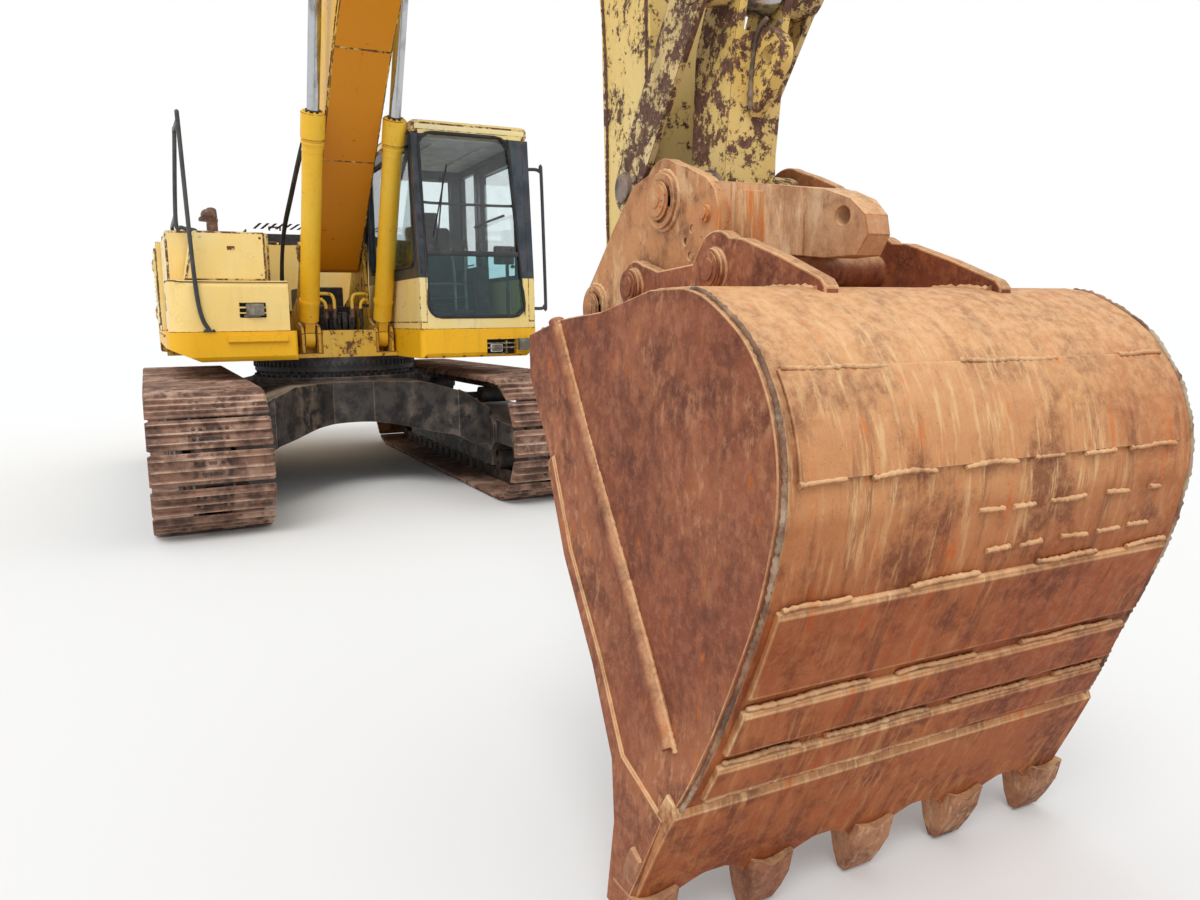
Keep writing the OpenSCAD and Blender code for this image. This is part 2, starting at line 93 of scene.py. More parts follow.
sky_seen.inputs["Color"].default_value = (1, 1, 1, 1)
sky_lit = sky_nodes.new("ShaderNodeBackground")
sky_lit.inputs["Color"].default_value = (0.97, 0.985, 1, 1)
sky_lit.inputs["Strength"].default_value = 0.95
sky_ray = sky_nodes.new("ShaderNodeLightPath")
sky_any = sky_nodes.new("ShaderNodeMath")
sky_any.operation = "MAXIMUM"
sky_mix = sky_nodes.new("ShaderNodeMixShader")
for k, ray in enumerate(("Is Camera Ray", "Is Transmission Ray")):
    sky_links.new(sky_ray.outputs[ray], sky_any.inputs[k])
for k, part in enumerate((sky_any, sky_lit, sky_seen)):
    sky_links.new(part.outputs[0], sky_mix.inputs[k])
sky_links.new(sky_mix.outputs[0], sky_out.inputs[0])
lamp_data = bpy.data.lights.new("soft_lamp", "SUN")
lamp_data.energy = 1.6
lamp_data.angle = math.radians(35)
soft_lamp = bpy.data.objects.new("soft_lamp", lamp_data)
bpy.context.scene.collection.objects.link(soft_lamp)
soft_lamp.matrix_world = Vector((0.55, -0.45, 1.0)).to_track_quat("Z", "Y").to_matrix().to_4x4()

# Crawler shoes: forty-nine rolled steel plates to a side, each with three grousers, hooked over
# the next and held to the chain by four bolts. They are rusty, with mud baked into the corners.
half_base, axle_z, pin_radius = 1.98, 0.515, 0.415
shoe_width, gauge = 0.8, 2.59


class Finish:
    """A procedural finish under way: its node tree, with short calls for its patterns."""

    def __init__(self, name, rough=0.6, metal=0.0):
        self.material = bpy.data.materials.new(name)
        self.material.use_nodes = True
        self.nodes, self.links = self.material.node_tree.nodes, self.material.node_tree.links
        self.shader = self.nodes["Principled BSDF"]
        self.shader.inputs["Roughness"].default_value = rough
        self.shader.inputs["Metallic"].default_value = metal
        self.place = self.nodes.new("ShaderNodeTexCoord")

    def put(self, value, socket):
        if isinstance(value, (int, float, tuple)):
            socket.default_value = value
        else:
            self.links.new(value, socket)

    def noise(self, scale, detail=6, rough=0.6, stretch=(1, 1, 1), shift=0.0):
        place = self.nodes.new("ShaderNodeMapping")
        place.inputs["Scale"].default_value = stretch
        place.inputs["Location"].default_value = (shift, shift * 0.7, -shift * 0.4)
        self.links.new(self.place.outputs["Object"], place.inputs["Vector"])
        cloud = self.nodes.new("ShaderNodeTexNoise")
        cloud.inputs["Scale"].default_value = scale
        cloud.inputs["Detail"].default_value = detail
        cloud.inputs["Roughness"].default_value = rough
        self.links.new(place.outputs[0], cloud.inputs["Vector"])
        return cloud.outputs[0]

    def band(self, value, low, high, start=0.0, end=1.0):
        step = self.nodes.new("ShaderNodeMapRange")
        step.interpolation_type = "SMOOTHSTEP"
        self.put(value, step.inputs["Value"])
        for name, number in (("From Min", low), ("From Max", high), ("To Min", start), ("To Max", end)):
            step.inputs[name].default_value = number
        return step.outputs[0]

    def sum(self, first, second, how="ADD"):
        step = self.nodes.new("ShaderNodeMath")
        step.operation = how
        self.put(first, step.inputs[0])
        self.put(second, step.inputs[1])
        return step.outputs[0]

    def lay(self, amount, under, over, how="MIX"):
        step = self.nodes.new("ShaderNodeMix")
        step.data_type = "RGBA"
        step.blend_type = how
        self.put(amount, step.inputs[0])
        for value, socket in ((under, step.inputs[6]), (over, step.inputs[7])):
            self.put(value if not isinstance(value, tuple) else (*value, 1.0), socket)
        return step.outputs[2]

    def axis(self, name, source="Object"):
        step = self.nodes.new("ShaderNodeSeparateXYZ")
        self.links.new(self.place.outputs[source], step.inputs[0])
        return step.outputs[name]

    def close(self, colour, rough, height=None, depth=0.001):
        self.links.new(colour, self.shader.inputs["Base Color"])
        self.put(rough, self.shader.inputs["Roughness"])
        if height is not None:
            bump = self.nodes.new("ShaderNodeBump")
            bump.inputs["Distance"].default_value = depth
            bump.inputs["Strength"].default_value = 1.0
            self.links.new(height, bump.inputs["Height"])
            self.links.new(bump.outputs[0], self.shader.inputs["Normal"])
        return self.material


def old_steel(name, dark, mid, light, grime, gloss=0.62, grain=26, dust=0.35, depth=0.0016):
    """Bare steel gone rusty: dark scale, brown rust and lighter bloom, with grime and pits."""
    f = Finish(name)
    broad = f.noise(1.7, 5, 0.62)
    cloud = f.noise(7.5, 9, 0.68, shift=3.1)
    pits = f.noise(grain * 2.6, 8, 0.72, shift=7.7)
    colour = f.lay(f.band(cloud, 0.36, 0.62), dark, mid)
    colour = f.lay(f.sum(f.band(broad, 0.42, 0.66), f.band(cloud, 0.44, 0.6), "MULTIPLY"), colour, light)
    colour = f.lay(f.band(f.noise(grain, 6, 0.7, shift=1.3), 0.56, 0.72, 0, 0.7), colour, grime)
    colour = f.lay(f.band(pits, 0.30, 0.44, 0.55, 0.0), colour, (0.035, 0.022, 0.016))
    up = f.band(f.axis("Z", "Normal"), 0.35, 0.95)
    colour = f.lay(f.sum(f.sum(up, f.band(broad, 0.3, 0.7), "MULTIPLY"), dust, "MULTIPLY"), colour, light)
    rough = f.band(pits, 0.3, 0.7, gloss + 0.2, gloss)
    return f.close(colour, rough, f.sum(f.sum(pits, 0.6, "MULTIPLY"), cloud), depth)


shoe_steel = old_steel("shoe_steel", (0.085, 0.040, 0.027), (0.27, 0.140, 0.088), (0.50, 0.33, 0.24),
                       (0.13, 0.060, 0.040))
shoe_edge = old_steel("shoe_edge", (0.20, 0.12, 0.085), (0.44, 0.29, 0.21), (0.60, 0.46, 0.37),
                      (0.26, 0.14, 0.095), 0.5)
chain_steel = old_steel("chain_steel", (0.018, 0.014, 0.012), (0.075, 0.045, 0.03), (0.19, 0.12, 0.08),
                        (0.03, 0.02, 0.017))


def finished(name, bm, materials, body, smooth=38, recalculate=True):
    """Turns a bmesh into a finished piece that rides on a body and takes a slot's finish."""
    if recalculate:
        bmesh.ops.recalc_face_normals(bm, faces=bm.faces)
    for face in bm.faces:
        face.smooth = True
    for edge in bm.edges:
        edge.smooth = len(edge.link_faces) == 2 and edge.calc_face_angle(0) < math.radians(smooth)
    data = bpy.data.meshes.new(name)
    bm.to_mesh(data)
    bm.free()
    for material in materials:
        data.materials.append(material)
    made = bpy.data.objects.new(name, data)
    bpy.context.scene.collection.objects.link(made)
    if body:
        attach(made, body)
    return made


def bar_between(bm, start, end, radius, sides=24, end_radius=None, material=0):
    """A round bar, or a cone, from one point to another, with closed ends."""
    start, end = Vector(start), Vector(end)
    turn = (end - start).to_track_quat("Z", "Y").to_matrix().to_4x4()
    made = bmesh.ops.create_cone(
        bm, cap_ends=True, segments=sides, radius1=radius, radius2=radius if end_radius is None else end_radius,
        depth=(end - start).length, matrix=Matrix.Translation((start + end) / 2) @ turn)
    for face in {f for v in made["verts"] for f in v.link_faces}:
        face.material_index = material
    return made["verts"]


def block(bm, low, high, bevel=0.0, material=0):
    """A block between two corners, with its edges broken."""
    low, high = Vector(low), Vector(high)
    made = bmesh.ops.create_cube(bm, size=1, matrix=Matrix.Translation((low + high) / 2)
                                 @ Matrix.Diagonal((*(high - low), 1)))
    faces = {f for v in made["verts"] for f in v.link_faces}
    if bevel:
        edges = list({e for v in made["verts"] for e in v.link_edges})
        done = bmesh.ops.bevel(bm, geom=edges, offset=bevel, segments=2, profile=0.5, affect="EDGES",
                               material=-1, clamp_overlap=True)
        faces = set(done["faces"]) | {f for f in faces if f.is_valid}
    for face in faces:
        face.material_index = material
    return list({v for f in faces for v in f.verts})


def bolt_heads(bm, spots, axis, radius, height, washer=True):
    """Six-sided bolt heads on washers, standing on a face along axis."""
    axis = Vector(axis).normalized()
    for spot in spots:
        spot = Vector(spot)
        if washer:
            bar_between(bm, spot - axis * 0.002, spot + axis * height * 0.25, radius * 1.45, 14, radius * 1.4)
        bar_between(bm, spot, spot + axis * height, radius, 6, radius * 0.94)


def turned(bm, verts, place, degrees, axis="Y"):
    """Turns corners made at the origin about an axis, and moves them to their place."""
    turn = Matrix.Rotation(math.radians(degrees), 4, axis)
    bmesh.ops.transform(bm, verts=verts, matrix=Matrix.Translation(place) @ turn)


def loop_place(distance):
    """Place and turn of a link pin at a distance along the track, in side view."""
    turn = math.pi * pin_radius
    distance %= 4 * half_base + 2 * turn
    if distance < 2 * half_base:
        return (-half_base + distance, axle_z - pin_radius)
    if distance < 2 * half_base + turn:
        a = (distance - 2 * half_base) / pin_radius
        return (half_base + pin_radius * math.sin(a), axle_z - pin_radius * math.cos(a))
    if distance < 4 * half_base + turn:
        return (half_base - (distance - 2 * half_base - turn), axle_z + pin_radius)
    a = (distance - 4 * half_base - turn) / pin_radius
    return (-half_base - pin_radius * math.sin(a), axle_z + pin_radius * math.cos(a))


shoe_count = 49
shoe_pitch = (4 * half_base + 2 * math.pi * pin_radius) / shoe_count
shoe_section = [(0.0, 0.000), (0.03, 0.006), (0.10, 0.008), (0.125, 0.030), (0.137, 0.034), (0.175, 0.034),
                (0.19, 0.030), (0.215, 0.008), (0.435, 0.008), (0.46, 0.030), (0.472, 0.034), (0.528, 0.034),
                (0.54, 0.030), (0.565, 0.008), (0.785, 0.008), (0.81, 0.030), (0.822, 0.034), (0.863, 0.034),
                (0.875, 0.030), (0.90, 0.008), (1.0, 0.008), (1.03, 0.002), (1.0, -0.006), (0.93, -0.008),
                (0.0, -0.008)]


def pulled(outline, way):
    """A solid made by pulling a flat outline along a vector."""
    bm = bmesh.new()
    bm.faces.new([bm.verts.new(point) for point in outline])
    out = bmesh.ops.extrude_face_region(bm, geom=bm.faces[:])
    bmesh.ops.translate(bm, vec=way, verts=[v for v in out["geom"] if isinstance(v, bmesh.types.BMVert)])
    return bm


def shoe_shape():
    """One shoe, lying at the origin: along X its pitch, along Y its width, its grousers along -Z."""
    bm = pulled([(u * shoe_pitch, -shoe_width / 2, -n) for u, n in shoe_section], (0, shoe_width, 0))
    bmesh.ops.recalc_face_normals(bm, faces=bm.faces)
    for cut in (0.02, 0.98):
        y = (cut - 0.5) * shoe_width
        bmesh.ops.bisect_plane(bm, geom=bm.verts[:] + bm.edges[:] + bm.faces[:], plane_co=(0, y, 0),
                               plane_no=(0, 1, 0))
    for v in bm.verts:
        if abs(v.co.y) > shoe_width / 2 - 0.001:
            v.co.x = shoe_pitch * 0.5 + (v.co.x - shoe_pitch * 0.5) * 0.93
            v.co.z *= 0.72 if v.co.z < -0.01 else 1
    for face in bm.faces:
        if face.normal.z < -0.95 and face.calc_center_median().z < -0.03:
            face.material_index = 1
    for u, y in ((0.325, -0.085), (0.325, 0.085), (0.675, -0.085), (0.675, 0.085)):
        for dy in (-0.022, 0.022):
            spot = Vector((u * shoe_pitch, y + dy, -0.008))
            bar_between(bm, spot, spot - Vector((0, 0, 0.011)), 0.0135, 6, 0.012, 2)
    for u, w in ((0.325, 0.05), (0.675, 0.026)):
        block(bm, (u * shoe_pitch - 0.012, -w, -0.0088), (u * shoe_pitch + 0.012, w, -0.0078), 0.0, 2)
    return bm


def link_shape():
    """One chain link: two forged side bars with a pin and bush between them, at the origin."""
    bm = bmesh.new()
    for s in (-1, 1):
        y = s * 0.085
        block(bm, (0.0, y - 0.028, -0.052), (shoe_pitch, y + 0.028, 0.052), 0.012)
        block(bm, (0.03, y - 0.034, -0.072), (shoe_pitch - 0.03, y + 0.034, -0.05), 0.006)
        bar_between(bm, (0, y - s * 0.03, 0), (0, y + s * 0.034, 0), 0.044, 12)
    bar_between(bm, (0, -0.125, 0), (0, 0.125, 0), 0.022, 10)
    bar_between(bm, (0, -0.06, 0), (0, 0.06, 0), 0.034, 12)
    return bm


def whole_track(name, shape, materials, side, node, out):
    """Copies one shape along the loop, a pitch at a time."""
    one = bpy.data.meshes.new("one")
    made = shape()
    made.to_mesh(one)
    made.free()
    bm = bmesh.new()
    for i in range(shoe_count):
        p, q = loop_place(i * shoe_pitch), loop_place((i + 1) * shoe_pitch)
        angle = math.atan2(q[1] - p[1], q[0] - p[0])
        span = math.hypot(q[0] - p[0], q[1] - p[1])
        start = len(bm.verts)
        bm.from_mesh(one)
        bm.verts.ensure_lookup_table()
        new = bm.verts[start:]
        bmesh.ops.transform(bm, verts=new, matrix=(
            Matrix.Translation((p[0], side * gauge / 2, p[1])) @ Matrix.Rotation(-angle, 4, "Y")
            @ Matrix.Translation((0, 0, -out)) @ Matrix.Diagonal((span / shoe_pitch, 1, 1, 1))))
    bpy.data.meshes.remove(one)
    track = finished(name, bm, materials, "undercarriage", recalculate=False)
    if node:
        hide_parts(node)
    return track


for side, word in ((-1, "right"), (1, "left")):
    whole_track("track_shoes_" + word, shoe_shape, [shoe_steel, shoe_edge, chain_steel], side, "track_" + word,
                0.066)
    whole_track("track_chain_" + word, link_shape, [chain_steel], side, None, 0.0)

# Idlers, sprockets and rollers: cast and turned steel, with bolted hubs and caps. The rolling
# faces are worn bright, and the rest carries old grease, dust and brown rust.
under_steel = old_steel("under_steel", (0.016, 0.014, 0.013), (0.055, 0.042, 0.034), (0.21, 0.155, 0.115),
                        (0.10, 0.05, 0.03), 0.55, 18, 0.8)
under_edge = old_steel("under_edge", (0.07, 0.04, 0.028), (0.17, 0.10, 0.07), (0.30, 0.21, 0.15),
                       (0.11, 0.055, 0.035), 0.5)


def broken_edges(bm, materials, doubles, flat, bevel, angle, clamp):
    """Merges a solid's doubles and flat faces, and breaks its sharp edges in its second finish."""
    bmesh.ops.remove_doubles(bm, verts=bm.verts, dist=doubles)
    bmesh.ops.dissolve_limit(bm, angle_limit=math.radians(flat), verts=bm.verts, edges=bm.edges)
    for face in bm.faces:
        face.material_index = 0
    sharp = [e for e in bm.edges if len(e.link_faces) == 2 and e.calc_face_angle(0) > math.radians(angle)]
    if bevel and sharp:
        bmesh.ops.bevel(bm, geom=sharp, offset=bevel, segments=2, profile=0.5, affect="EDGES",
                        clamp_overlap=clamp, loop_slide=True, material=1 if len(materials) > 1 else -1)
    many_sided = [f for f in bm.faces if len(f.verts) > 4]
    bmesh.ops.triangulate(bm, faces=many_sided, quad_method="BEAUTY", ngon_method="BEAUTY")


def even_faces(made):
    """Lets a piece's broad faces set its shading, so that they look flat."""
    weigh = made.modifiers.new("even_faces", "WEIGHTED_NORMAL")
    weigh.keep_sharp = True


def dressed(node, materials, bevel=0.004, angle=32):
    """A CAD node's solid with its sharp edges broken, in its own finish."""
    bm = bmesh.new()
    bm.from_mesh(frame["nodes"][node].data)
    broken_edges(bm, materials, 0.00005, 1.0, bevel, angle, False)
    body = next(b for b, names in frame["record"]["behaviour"]["bodies"].items() if node in names)
    made = finished(node + "_steel", bm, materials, body, recalculate=False)
    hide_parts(node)
    even_faces(made)


for node in ("idlers", "sprockets", "rollers"):
    dressed(node, [under_steel, under_edge], bevel=0.003)
bm = bmesh.new()
for side in (-1, 1):
    for i in range(16):
        a = i * math.pi / 8
        spot = (-half_base + 0.26 * math.cos(a), side * (gauge / 2 + 0.30), axle_z + 0.26 * math.sin(a))
        bolt_heads(bm, [spot], (0, side, 0), 0.014, 0.014)
    for i in range(3):
        a = i * math.pi * 2 / 3 + 0.5
        spot = (-half_base + 0.1 * math.cos(a), side * (gauge / 2 + 0.33), axle_z + 0.1 * math.sin(a))
        bolt_heads(bm, [spot], (0, side, 0), 0.02, 0.016, False)
    for i in range(8):
        x = -1.36 + i * 2.72 / 7
        bar_between(bm, (x, side * (gauge / 2 + 0.17), 0.248), (x, side * (gauge / 2 + 0.178), 0.248), 0.03, 16)
finished("hub_bolts", bm, [under_edge], "undercarriage")

# Track frames: welded box steel, flame-cut and plated, once painted dark, with bolted covers on
# their sides. The top faces hold pale dust, and the lower edges are brown.
frame_paint = old_steel("frame_paint", (0.014, 0.013, 0.014), (0.06, 0.05, 0.042), (0.235, 0.18, 0.135),
                        (0.115, 0.065, 0.04), 0.5, 13, 0.95, 0.001)
frame_edge = old_steel("frame_edge", (0.08, 0.055, 0.04), (0.19, 0.125, 0.085), (0.31, 0.22, 0.16),
                       (0.13, 0.07, 0.045), 0.48)
weld_steel = old_steel("weld_steel", (0.05, 0.033, 0.025), (0.15, 0.095, 0.062), (0.27, 0.19, 0.135),
                       (0.08, 0.045, 0.03), 0.5)
for node in ("track_frame_right", "track_frame_left"):
    dressed(node, [frame_paint, frame_edge], bevel=0.006)


def between(a, p, q, b, t):
    """The place a share t of the way from p to q on a smooth line through a, p, q and b."""
    return 0.5 * ((2 * p) + (q - a) * t + (2 * a - 5 * p + 4 * q - b) * t * t
                  + (3 * p - a - 3 * q + b) * t ** 3)


def tube_piece(name, runs, radius, material, body, ripple=0.0, sides=3, per=6):
    """Tubes or beads along smooth lines through points; a ripple gives a weld's ridges."""
    line = bpy.data.curves.new(name, "CURVE")
    line.dimensions = "3D"
    line.bevel_depth = radius
    line.bevel_resolution = sides
    line.use_fill_caps = True
    rng = random.Random(7)
    for points in runs:
        points = [Vector(p) for p in points]
        fine = []
        for i in range(len(points) - 1):
            a, b = points[max(i - 1, 0)], points[min(i + 2, len(points) - 1)]
            p, q = points[i], points[i + 1]
            steps = max(1, int((q - p).length / (radius * 1.4))) if ripple else (per if len(points) > 2 else 1)
            for k in range(steps):
                fine.append(between(a, p, q, b, k / steps))
        fine.append(points[-1])
        spline = line.splines.new("POLY")
        spline.points.add(len(fine) - 1)
        for k, p in enumerate(fine):
            spline.points[k].co = (*p, 1)
            spline.points[k].radius = 1 + ripple * rng.uniform(-1, 1) + (ripple if k % 2 else -ripple) * 0.6
    holder = bpy.data.objects.new(name, line)
    bpy.context.scene.collection.objects.link(holder)
    mesh = bpy.data.meshes.new_from_object(holder.evaluated_get(bpy.context.evaluated_depsgraph_get()))
    bpy.data.objects.remove(holder)
    bm = bmesh.new()
    bm.from_mesh(mesh)
    bpy.data.meshes.remove(mesh)
    for face in bm.faces:
        face.material_index = 0
    return finished(name, bm, [material], body, 60)


def side_block(bm, side, y, back, out, along, up, bevel):
    """A block on an upright side face at y, from back inside the face to out beyond it."""
    low, high = sorted((y - side * back, y + side * out))
    return block(bm, (along[0], low, up[0]), (along[1], high, up[1]), bevel)


bm = bmesh.new()
for side in (-1, 1):
    y = side * (gauge / 2 + 0.25)
    for x in (-1.1, -0.55, 0.0, 0.55, 1.1):
        bolt_heads(bm, [(x - 0.07, y, 0.47), (x + 0.07, y, 0.47)], (0, side, 0), 0.012, 0.012)
    side_block(bm, side, y, 0, 0.03, (-0.25, 0.25), (0.60, 0.615), 0.004)
    for x in (-1.2, 1.2):
        side_block(bm, side, y, 0.004, 0.012, (x - 0.16, x + 0.16), (0.42, 0.62), 0.006)
        bolt_heads(bm, [(x + dx, y + side * 0.012, z) for dx in (-0.13, 0.13) for z in (0.45, 0.59)],
                   (0, side, 0), 0.012, 0.012)
for sx in (-1, 1):
    bolt_heads(bm, [(sx * 0.45, y, 0.977) for y in (-0.5, 0.5)], (0, 0, 1), 0.016, 0.014)
finished("frame_covers", bm, [frame_paint, frame_edge], "undercarriage")

# Swing bearing: a turned ring on the car body with a toothed skirt, and the house's own ring
# above it, both held by a circle of close-set bolts. Grease and dust have blackened them.
bearing_grime = old_steel("bearing_grime", (0.010, 0.010, 0.011), (0.028, 0.026, 0.026), (0.10, 0.085, 0.072),
                          (0.05, 0.035, 0.026), 0.42, 20, 0.6)
for node in ("swing_bearing_base", "swing_bearing_ring"):
    dressed(node, [bearing_grime, under_edge], bevel=0.004)
bm = bmesh.new()
for i in range(60):
    a = i * math.pi / 30
    bolt_heads(bm, [(0.735 * math.cos(a), 0.735 * math.sin(a), 1.009)], (0, 0, 1), 0.013, 0.022)
finished("bearing_bolts_lower", bm, [bearing_grime], "undercarriage")
bm = bmesh.new()
for i in range(60):
    a = (i + 0.5) * math.pi / 30
    spot = Vector((0.718 * math.cos(a), 0.718 * math.sin(a), 1.061))
    bolt_heads(bm, [spot], (0, 0, -1), 0.012, 0.02)
for i in range(90):
    a = i * math.pi / 45
    turn = Matrix.Rotation(a, 4, "Z")
    made = block(bm, (0.738, -0.014, 1.10), (0.752, 0.014, 1.15), 0.003)
    bmesh.ops.transform(bm, verts=made, matrix=turn)
bmesh.ops.recalc_face_normals(bm, faces=bm.faces)
finished("bearing_bolts_upper", bm, [bearing_grime], "house")

# House frame: two upright yellow plates with the boom's foot pin and the cylinder feet between
# lugs, on a thick bed plate. The paint is yellow, greasy and brown round the pins and bolts.


def painted_steel(name, paint, faded, chips=0.14, grime=0.35, gloss=0.42, dust=0.25, rust=(0.19, 0.075, 0.03),
                  streak=0.35, bright=None, under=0.0):
    """Machine enamel on steel: bleached in broad clouds, streaked by rain, chipped to rust."""
    f = Finish(name)
    f.shader.inputs["Specular IOR Level"].default_value = 0.35
    broad = f.noise(0.9, 4, 0.6)
    cloud = f.noise(5.5, 8, 0.66, shift=2.2)
    fine = f.noise(48, 8, 0.75, shift=5.1)
    colour = f.lay(f.band(broad, 0.36, 0.64), paint, faded)
    colour = f.lay(f.band(cloud, 0.42, 0.7, 0, 0.45), colour,
                   bright or tuple(min(1.0, c * 1.18) for c in paint))
    runs = f.noise(11, 7, 0.7, stretch=(1, 1, 0.11), shift=9.0)
    colour = f.lay(f.sum(f.band(runs, 0.5, 0.78), streak, "MULTIPLY"), colour, tuple(c * 0.5 for c in paint))
    dirt = f.sum(f.band(cloud, 0.45, 0.72), f.band(fine, 0.35, 0.65), "MULTIPLY")
    colour = f.lay(f.sum(dirt, grime, "MULTIPLY"), colour, (0.12, 0.085, 0.05))
    up = f.band(f.axis("Z", "Normal"), 0.5, 0.98)
    colour = f.lay(f.sum(up, dust, "MULTIPLY"), colour, (0.40, 0.33, 0.22))
    # Painted shade: down-facing faces are painted darker and more saturated, as far as under asks.
    colour = f.lay(f.band(f.axis("Z", "Normal"), -0.05, -0.6, 0, under), colour,
                   tuple(c * k for c, k in zip(paint, (0.72, 0.45, 0.15))))
    chip = f.band(f.sum(f.noise(21, 10, 0.78, shift=4.4), f.sum(cloud, 0.55, "MULTIPLY")), 1.02 - chips,
                  1.06 - chips)
    rusty = f.lay(f.band(fine, 0.4, 0.62), tuple(c * 0.45 for c in rust), rust)
    colour = f.lay(chip, colour, rusty)
    rough = f.sum(f.sum(chip, 0.4, "MULTIPLY"), f.band(fine, 0.3, 0.7, gloss - 0.06, gloss + 0.12))
    height = f.sum(f.sum(chip, -0.6, "MULTIPLY"), f.sum(fine, 0.16, "MULTIPLY"))
    return f.close(colour, rough, height, 0.0011)


deck_yellow = painted_steel("deck_yellow", (0.82, 0.42, 0.004), (0.82, 0.46, 0.012), 0.10, 0.22, 0.36, 0.15)
deck_worn = painted_steel("deck_worn", (0.72, 0.43, 0.05), (0.74, 0.50, 0.12), 0.36, 0.45, 0.5)
greasy_yellow = painted_steel("greasy_yellow", (0.66, 0.38, 0.03), (0.60, 0.37, 0.06), 0.20, 0.75, 0.38)
greasy_worn = painted_steel("greasy_worn", (0.55, 0.33, 0.05), (0.50, 0.32, 0.08), 0.42, 0.85, 0.45)
valve_black = old_steel("valve_black", (0.006, 0.006, 0.007), (0.02, 0.018, 0.018), (0.07, 0.055, 0.042),
                        (0.03, 0.022, 0.018), 0.45, 30, 0.4)
hose_rubber = old_steel("hose_rubber", (0.010, 0.010, 0.011), (0.021, 0.020, 0.020), (0.055, 0.048, 0.042),
                        (0.03, 0.025, 0.02), 0.6, 60, 0.5, 0.0006)
fitting_steel = old_steel("fitting_steel", (0.12, 0.11, 0.10), (0.30, 0.27, 0.23), (0.42, 0.37, 0.29),
                          (0.14, 0.10, 0.07), 0.36, 40, 0.2)
fitting_steel.node_tree.nodes["Principled BSDF"].inputs["Metallic"].default_value = 0.75
dressed("revolving_frame", [greasy_yellow, greasy_worn], bevel=0.004)
dressed("control_valve", [valve_black, chain_steel], bevel=0.012)
bm = bmesh.new()
for x in (0.42, 0.30):
    for i, y in enumerate((-0.16, -0.10, -0.04, 0.02, 0.08)):
        block(bm, (x - 0.05, y - 0.024, 1.30), (x + 0.045, y + 0.024, 1.56 + 0.03 * (i % 2)), 0.008)
        bar_between(bm, (x + 0.04, y, 1.36), (x + 0.075, y, 1.36), 0.018, 12)
        bar_between(bm, (x + 0.04, y, 1.50), (x + 0.082, y, 1.50), 0.014, 6)
finished("valve_sections", bm, [valve_black], "house")
bm = bmesh.new()
for s in (-1, 1):
    for y in (0.29, 0.235):
        bar_between(bm, (0.50, s * y * 0.5, 1.60), (0.50, s * y * 0.5, 1.66), 0.022, 12)
    for z in (2.09, 2.21):
        bolt_heads(bm, [(0.06, s * 0.27, z), (0.18, s * 0.27, z)], (0, s, 0), 0.011, 0.010)
    bolt_heads(bm, [(x, s * 0.44, 1.226) for x in (0.05, 0.25, 0.6)], (0, 0, 1), 0.014, 0.012)
    bar_between(bm, (0.56, s * 0.411, 1.36), (0.56, s * 0.424, 1.36), 0.07, 20)
    bolt_heads(bm, [(0.56, s * 0.424, 1.36)], (0, s, 0), 0.016, 0.012)
bolt_heads(bm, [(0.60, y, 1.226) for y in (-0.15, 0.0, 0.15)], (0, 0, 1), 0.014, 0.012)
finished("house_frame_bolts", bm, [greasy_worn], "house")

# Deck bolts: small hexagon screws along the side decks' outer faces and under the cab's front
# edge, holding the folded steel to its frame. The yellow enamel has worn off their heads.
bm = bmesh.new()
for y in (0.47, 0.62, 0.80, 0.96, 1.32, 1.42):
    bolt_heads(bm, [(1.552, y, 1.195)], (0.3, 0, -1), 0.010, 0.008)
bolt_heads(bm, [(0.35, side * 1.494, 1.39) for side in (-1, 1)], (0, 0, 1), 0.008, 0.008)
for x in (-2.2, -1.4, -0.6, 0.2, 0.75):
    for side in (-1, 1):
        bolt_heads(bm, [(x, side * 1.494, 1.405)], (0, side, 0), 0.009, 0.007)
finished("deck_bolts", bm, [deck_worn], "house")

# Tool box fittings: a black sheet behind the louvre slots, painted shade where the slots look into
# the box; the seam under the lid, a black strip that is its rubber and painted shade of its gap; and
# pressed hinges, a latch and corner screws in the box's own enamel, bleached from yellow to cream.
cream_yellow = painted_steel("cream_yellow", (0.84, 0.60, 0.20), (0.86, 0.68, 0.32), 0.07, 0.22, 0.34, 0.2,
                             streak=0.22)
cream_worn = painted_steel("cream_worn", (0.68, 0.50, 0.18), (0.70, 0.56, 0.28), 0.28, 0.4, 0.45)
# Near-black finish: the real black of rubber strips and a screen, and painted shade in slots, gaps and the lamp
# well.
black_and_gap_shade = old_steel("black_and_gap_shade", (0.006, 0.006, 0.006), (0.012, 0.012, 0.012), (0.02, 0.02, 0.02),
                     (0.015, 0.012, 0.010), 0.8)
# A black sheet at the back of the louvre slots: painted shade where the slots look into the box.
bm = bmesh.new()
block(bm, (0.948, -0.94, 1.535), (0.9555, -0.715, 1.675))
finished("louvre_slot_shade", bm, [black_and_gap_shade], "house")
# The black strip along the lid's seam is its rubber and painted shade of the gap under the lid.
tube_piece("tool_box_seams", [[(0.404, -1.463, 1.846), (0.79, -1.466, 1.846), (0.93, -1.41, 1.842),
                               (0.972, -1.30, 1.835), (0.976, -0.54, 1.835)],], 0.004, black_and_gap_shade, "house",
           per=10)
bm = bmesh.new()
bolt_heads(bm, [(0.899, y, z) for y, z in ((-1.19, 2.2), (-0.73, 2.2), (-1.25, 1.9), (-0.73, 1.9))], (1, 0, 0),
           0.008, 0.006)
for y in (-1.15, -0.8):
    block(bm, (0.62, y - 0.03, 2.248), (0.70, y + 0.03, 2.256), 0.003)
block(bm, (0.86, -0.99, 2.10), (0.906, -0.93, 2.13), 0.004)
finished("tool_box_fittings", bm, [cream_worn], "house")
cream = [cream_yellow, cream_worn]

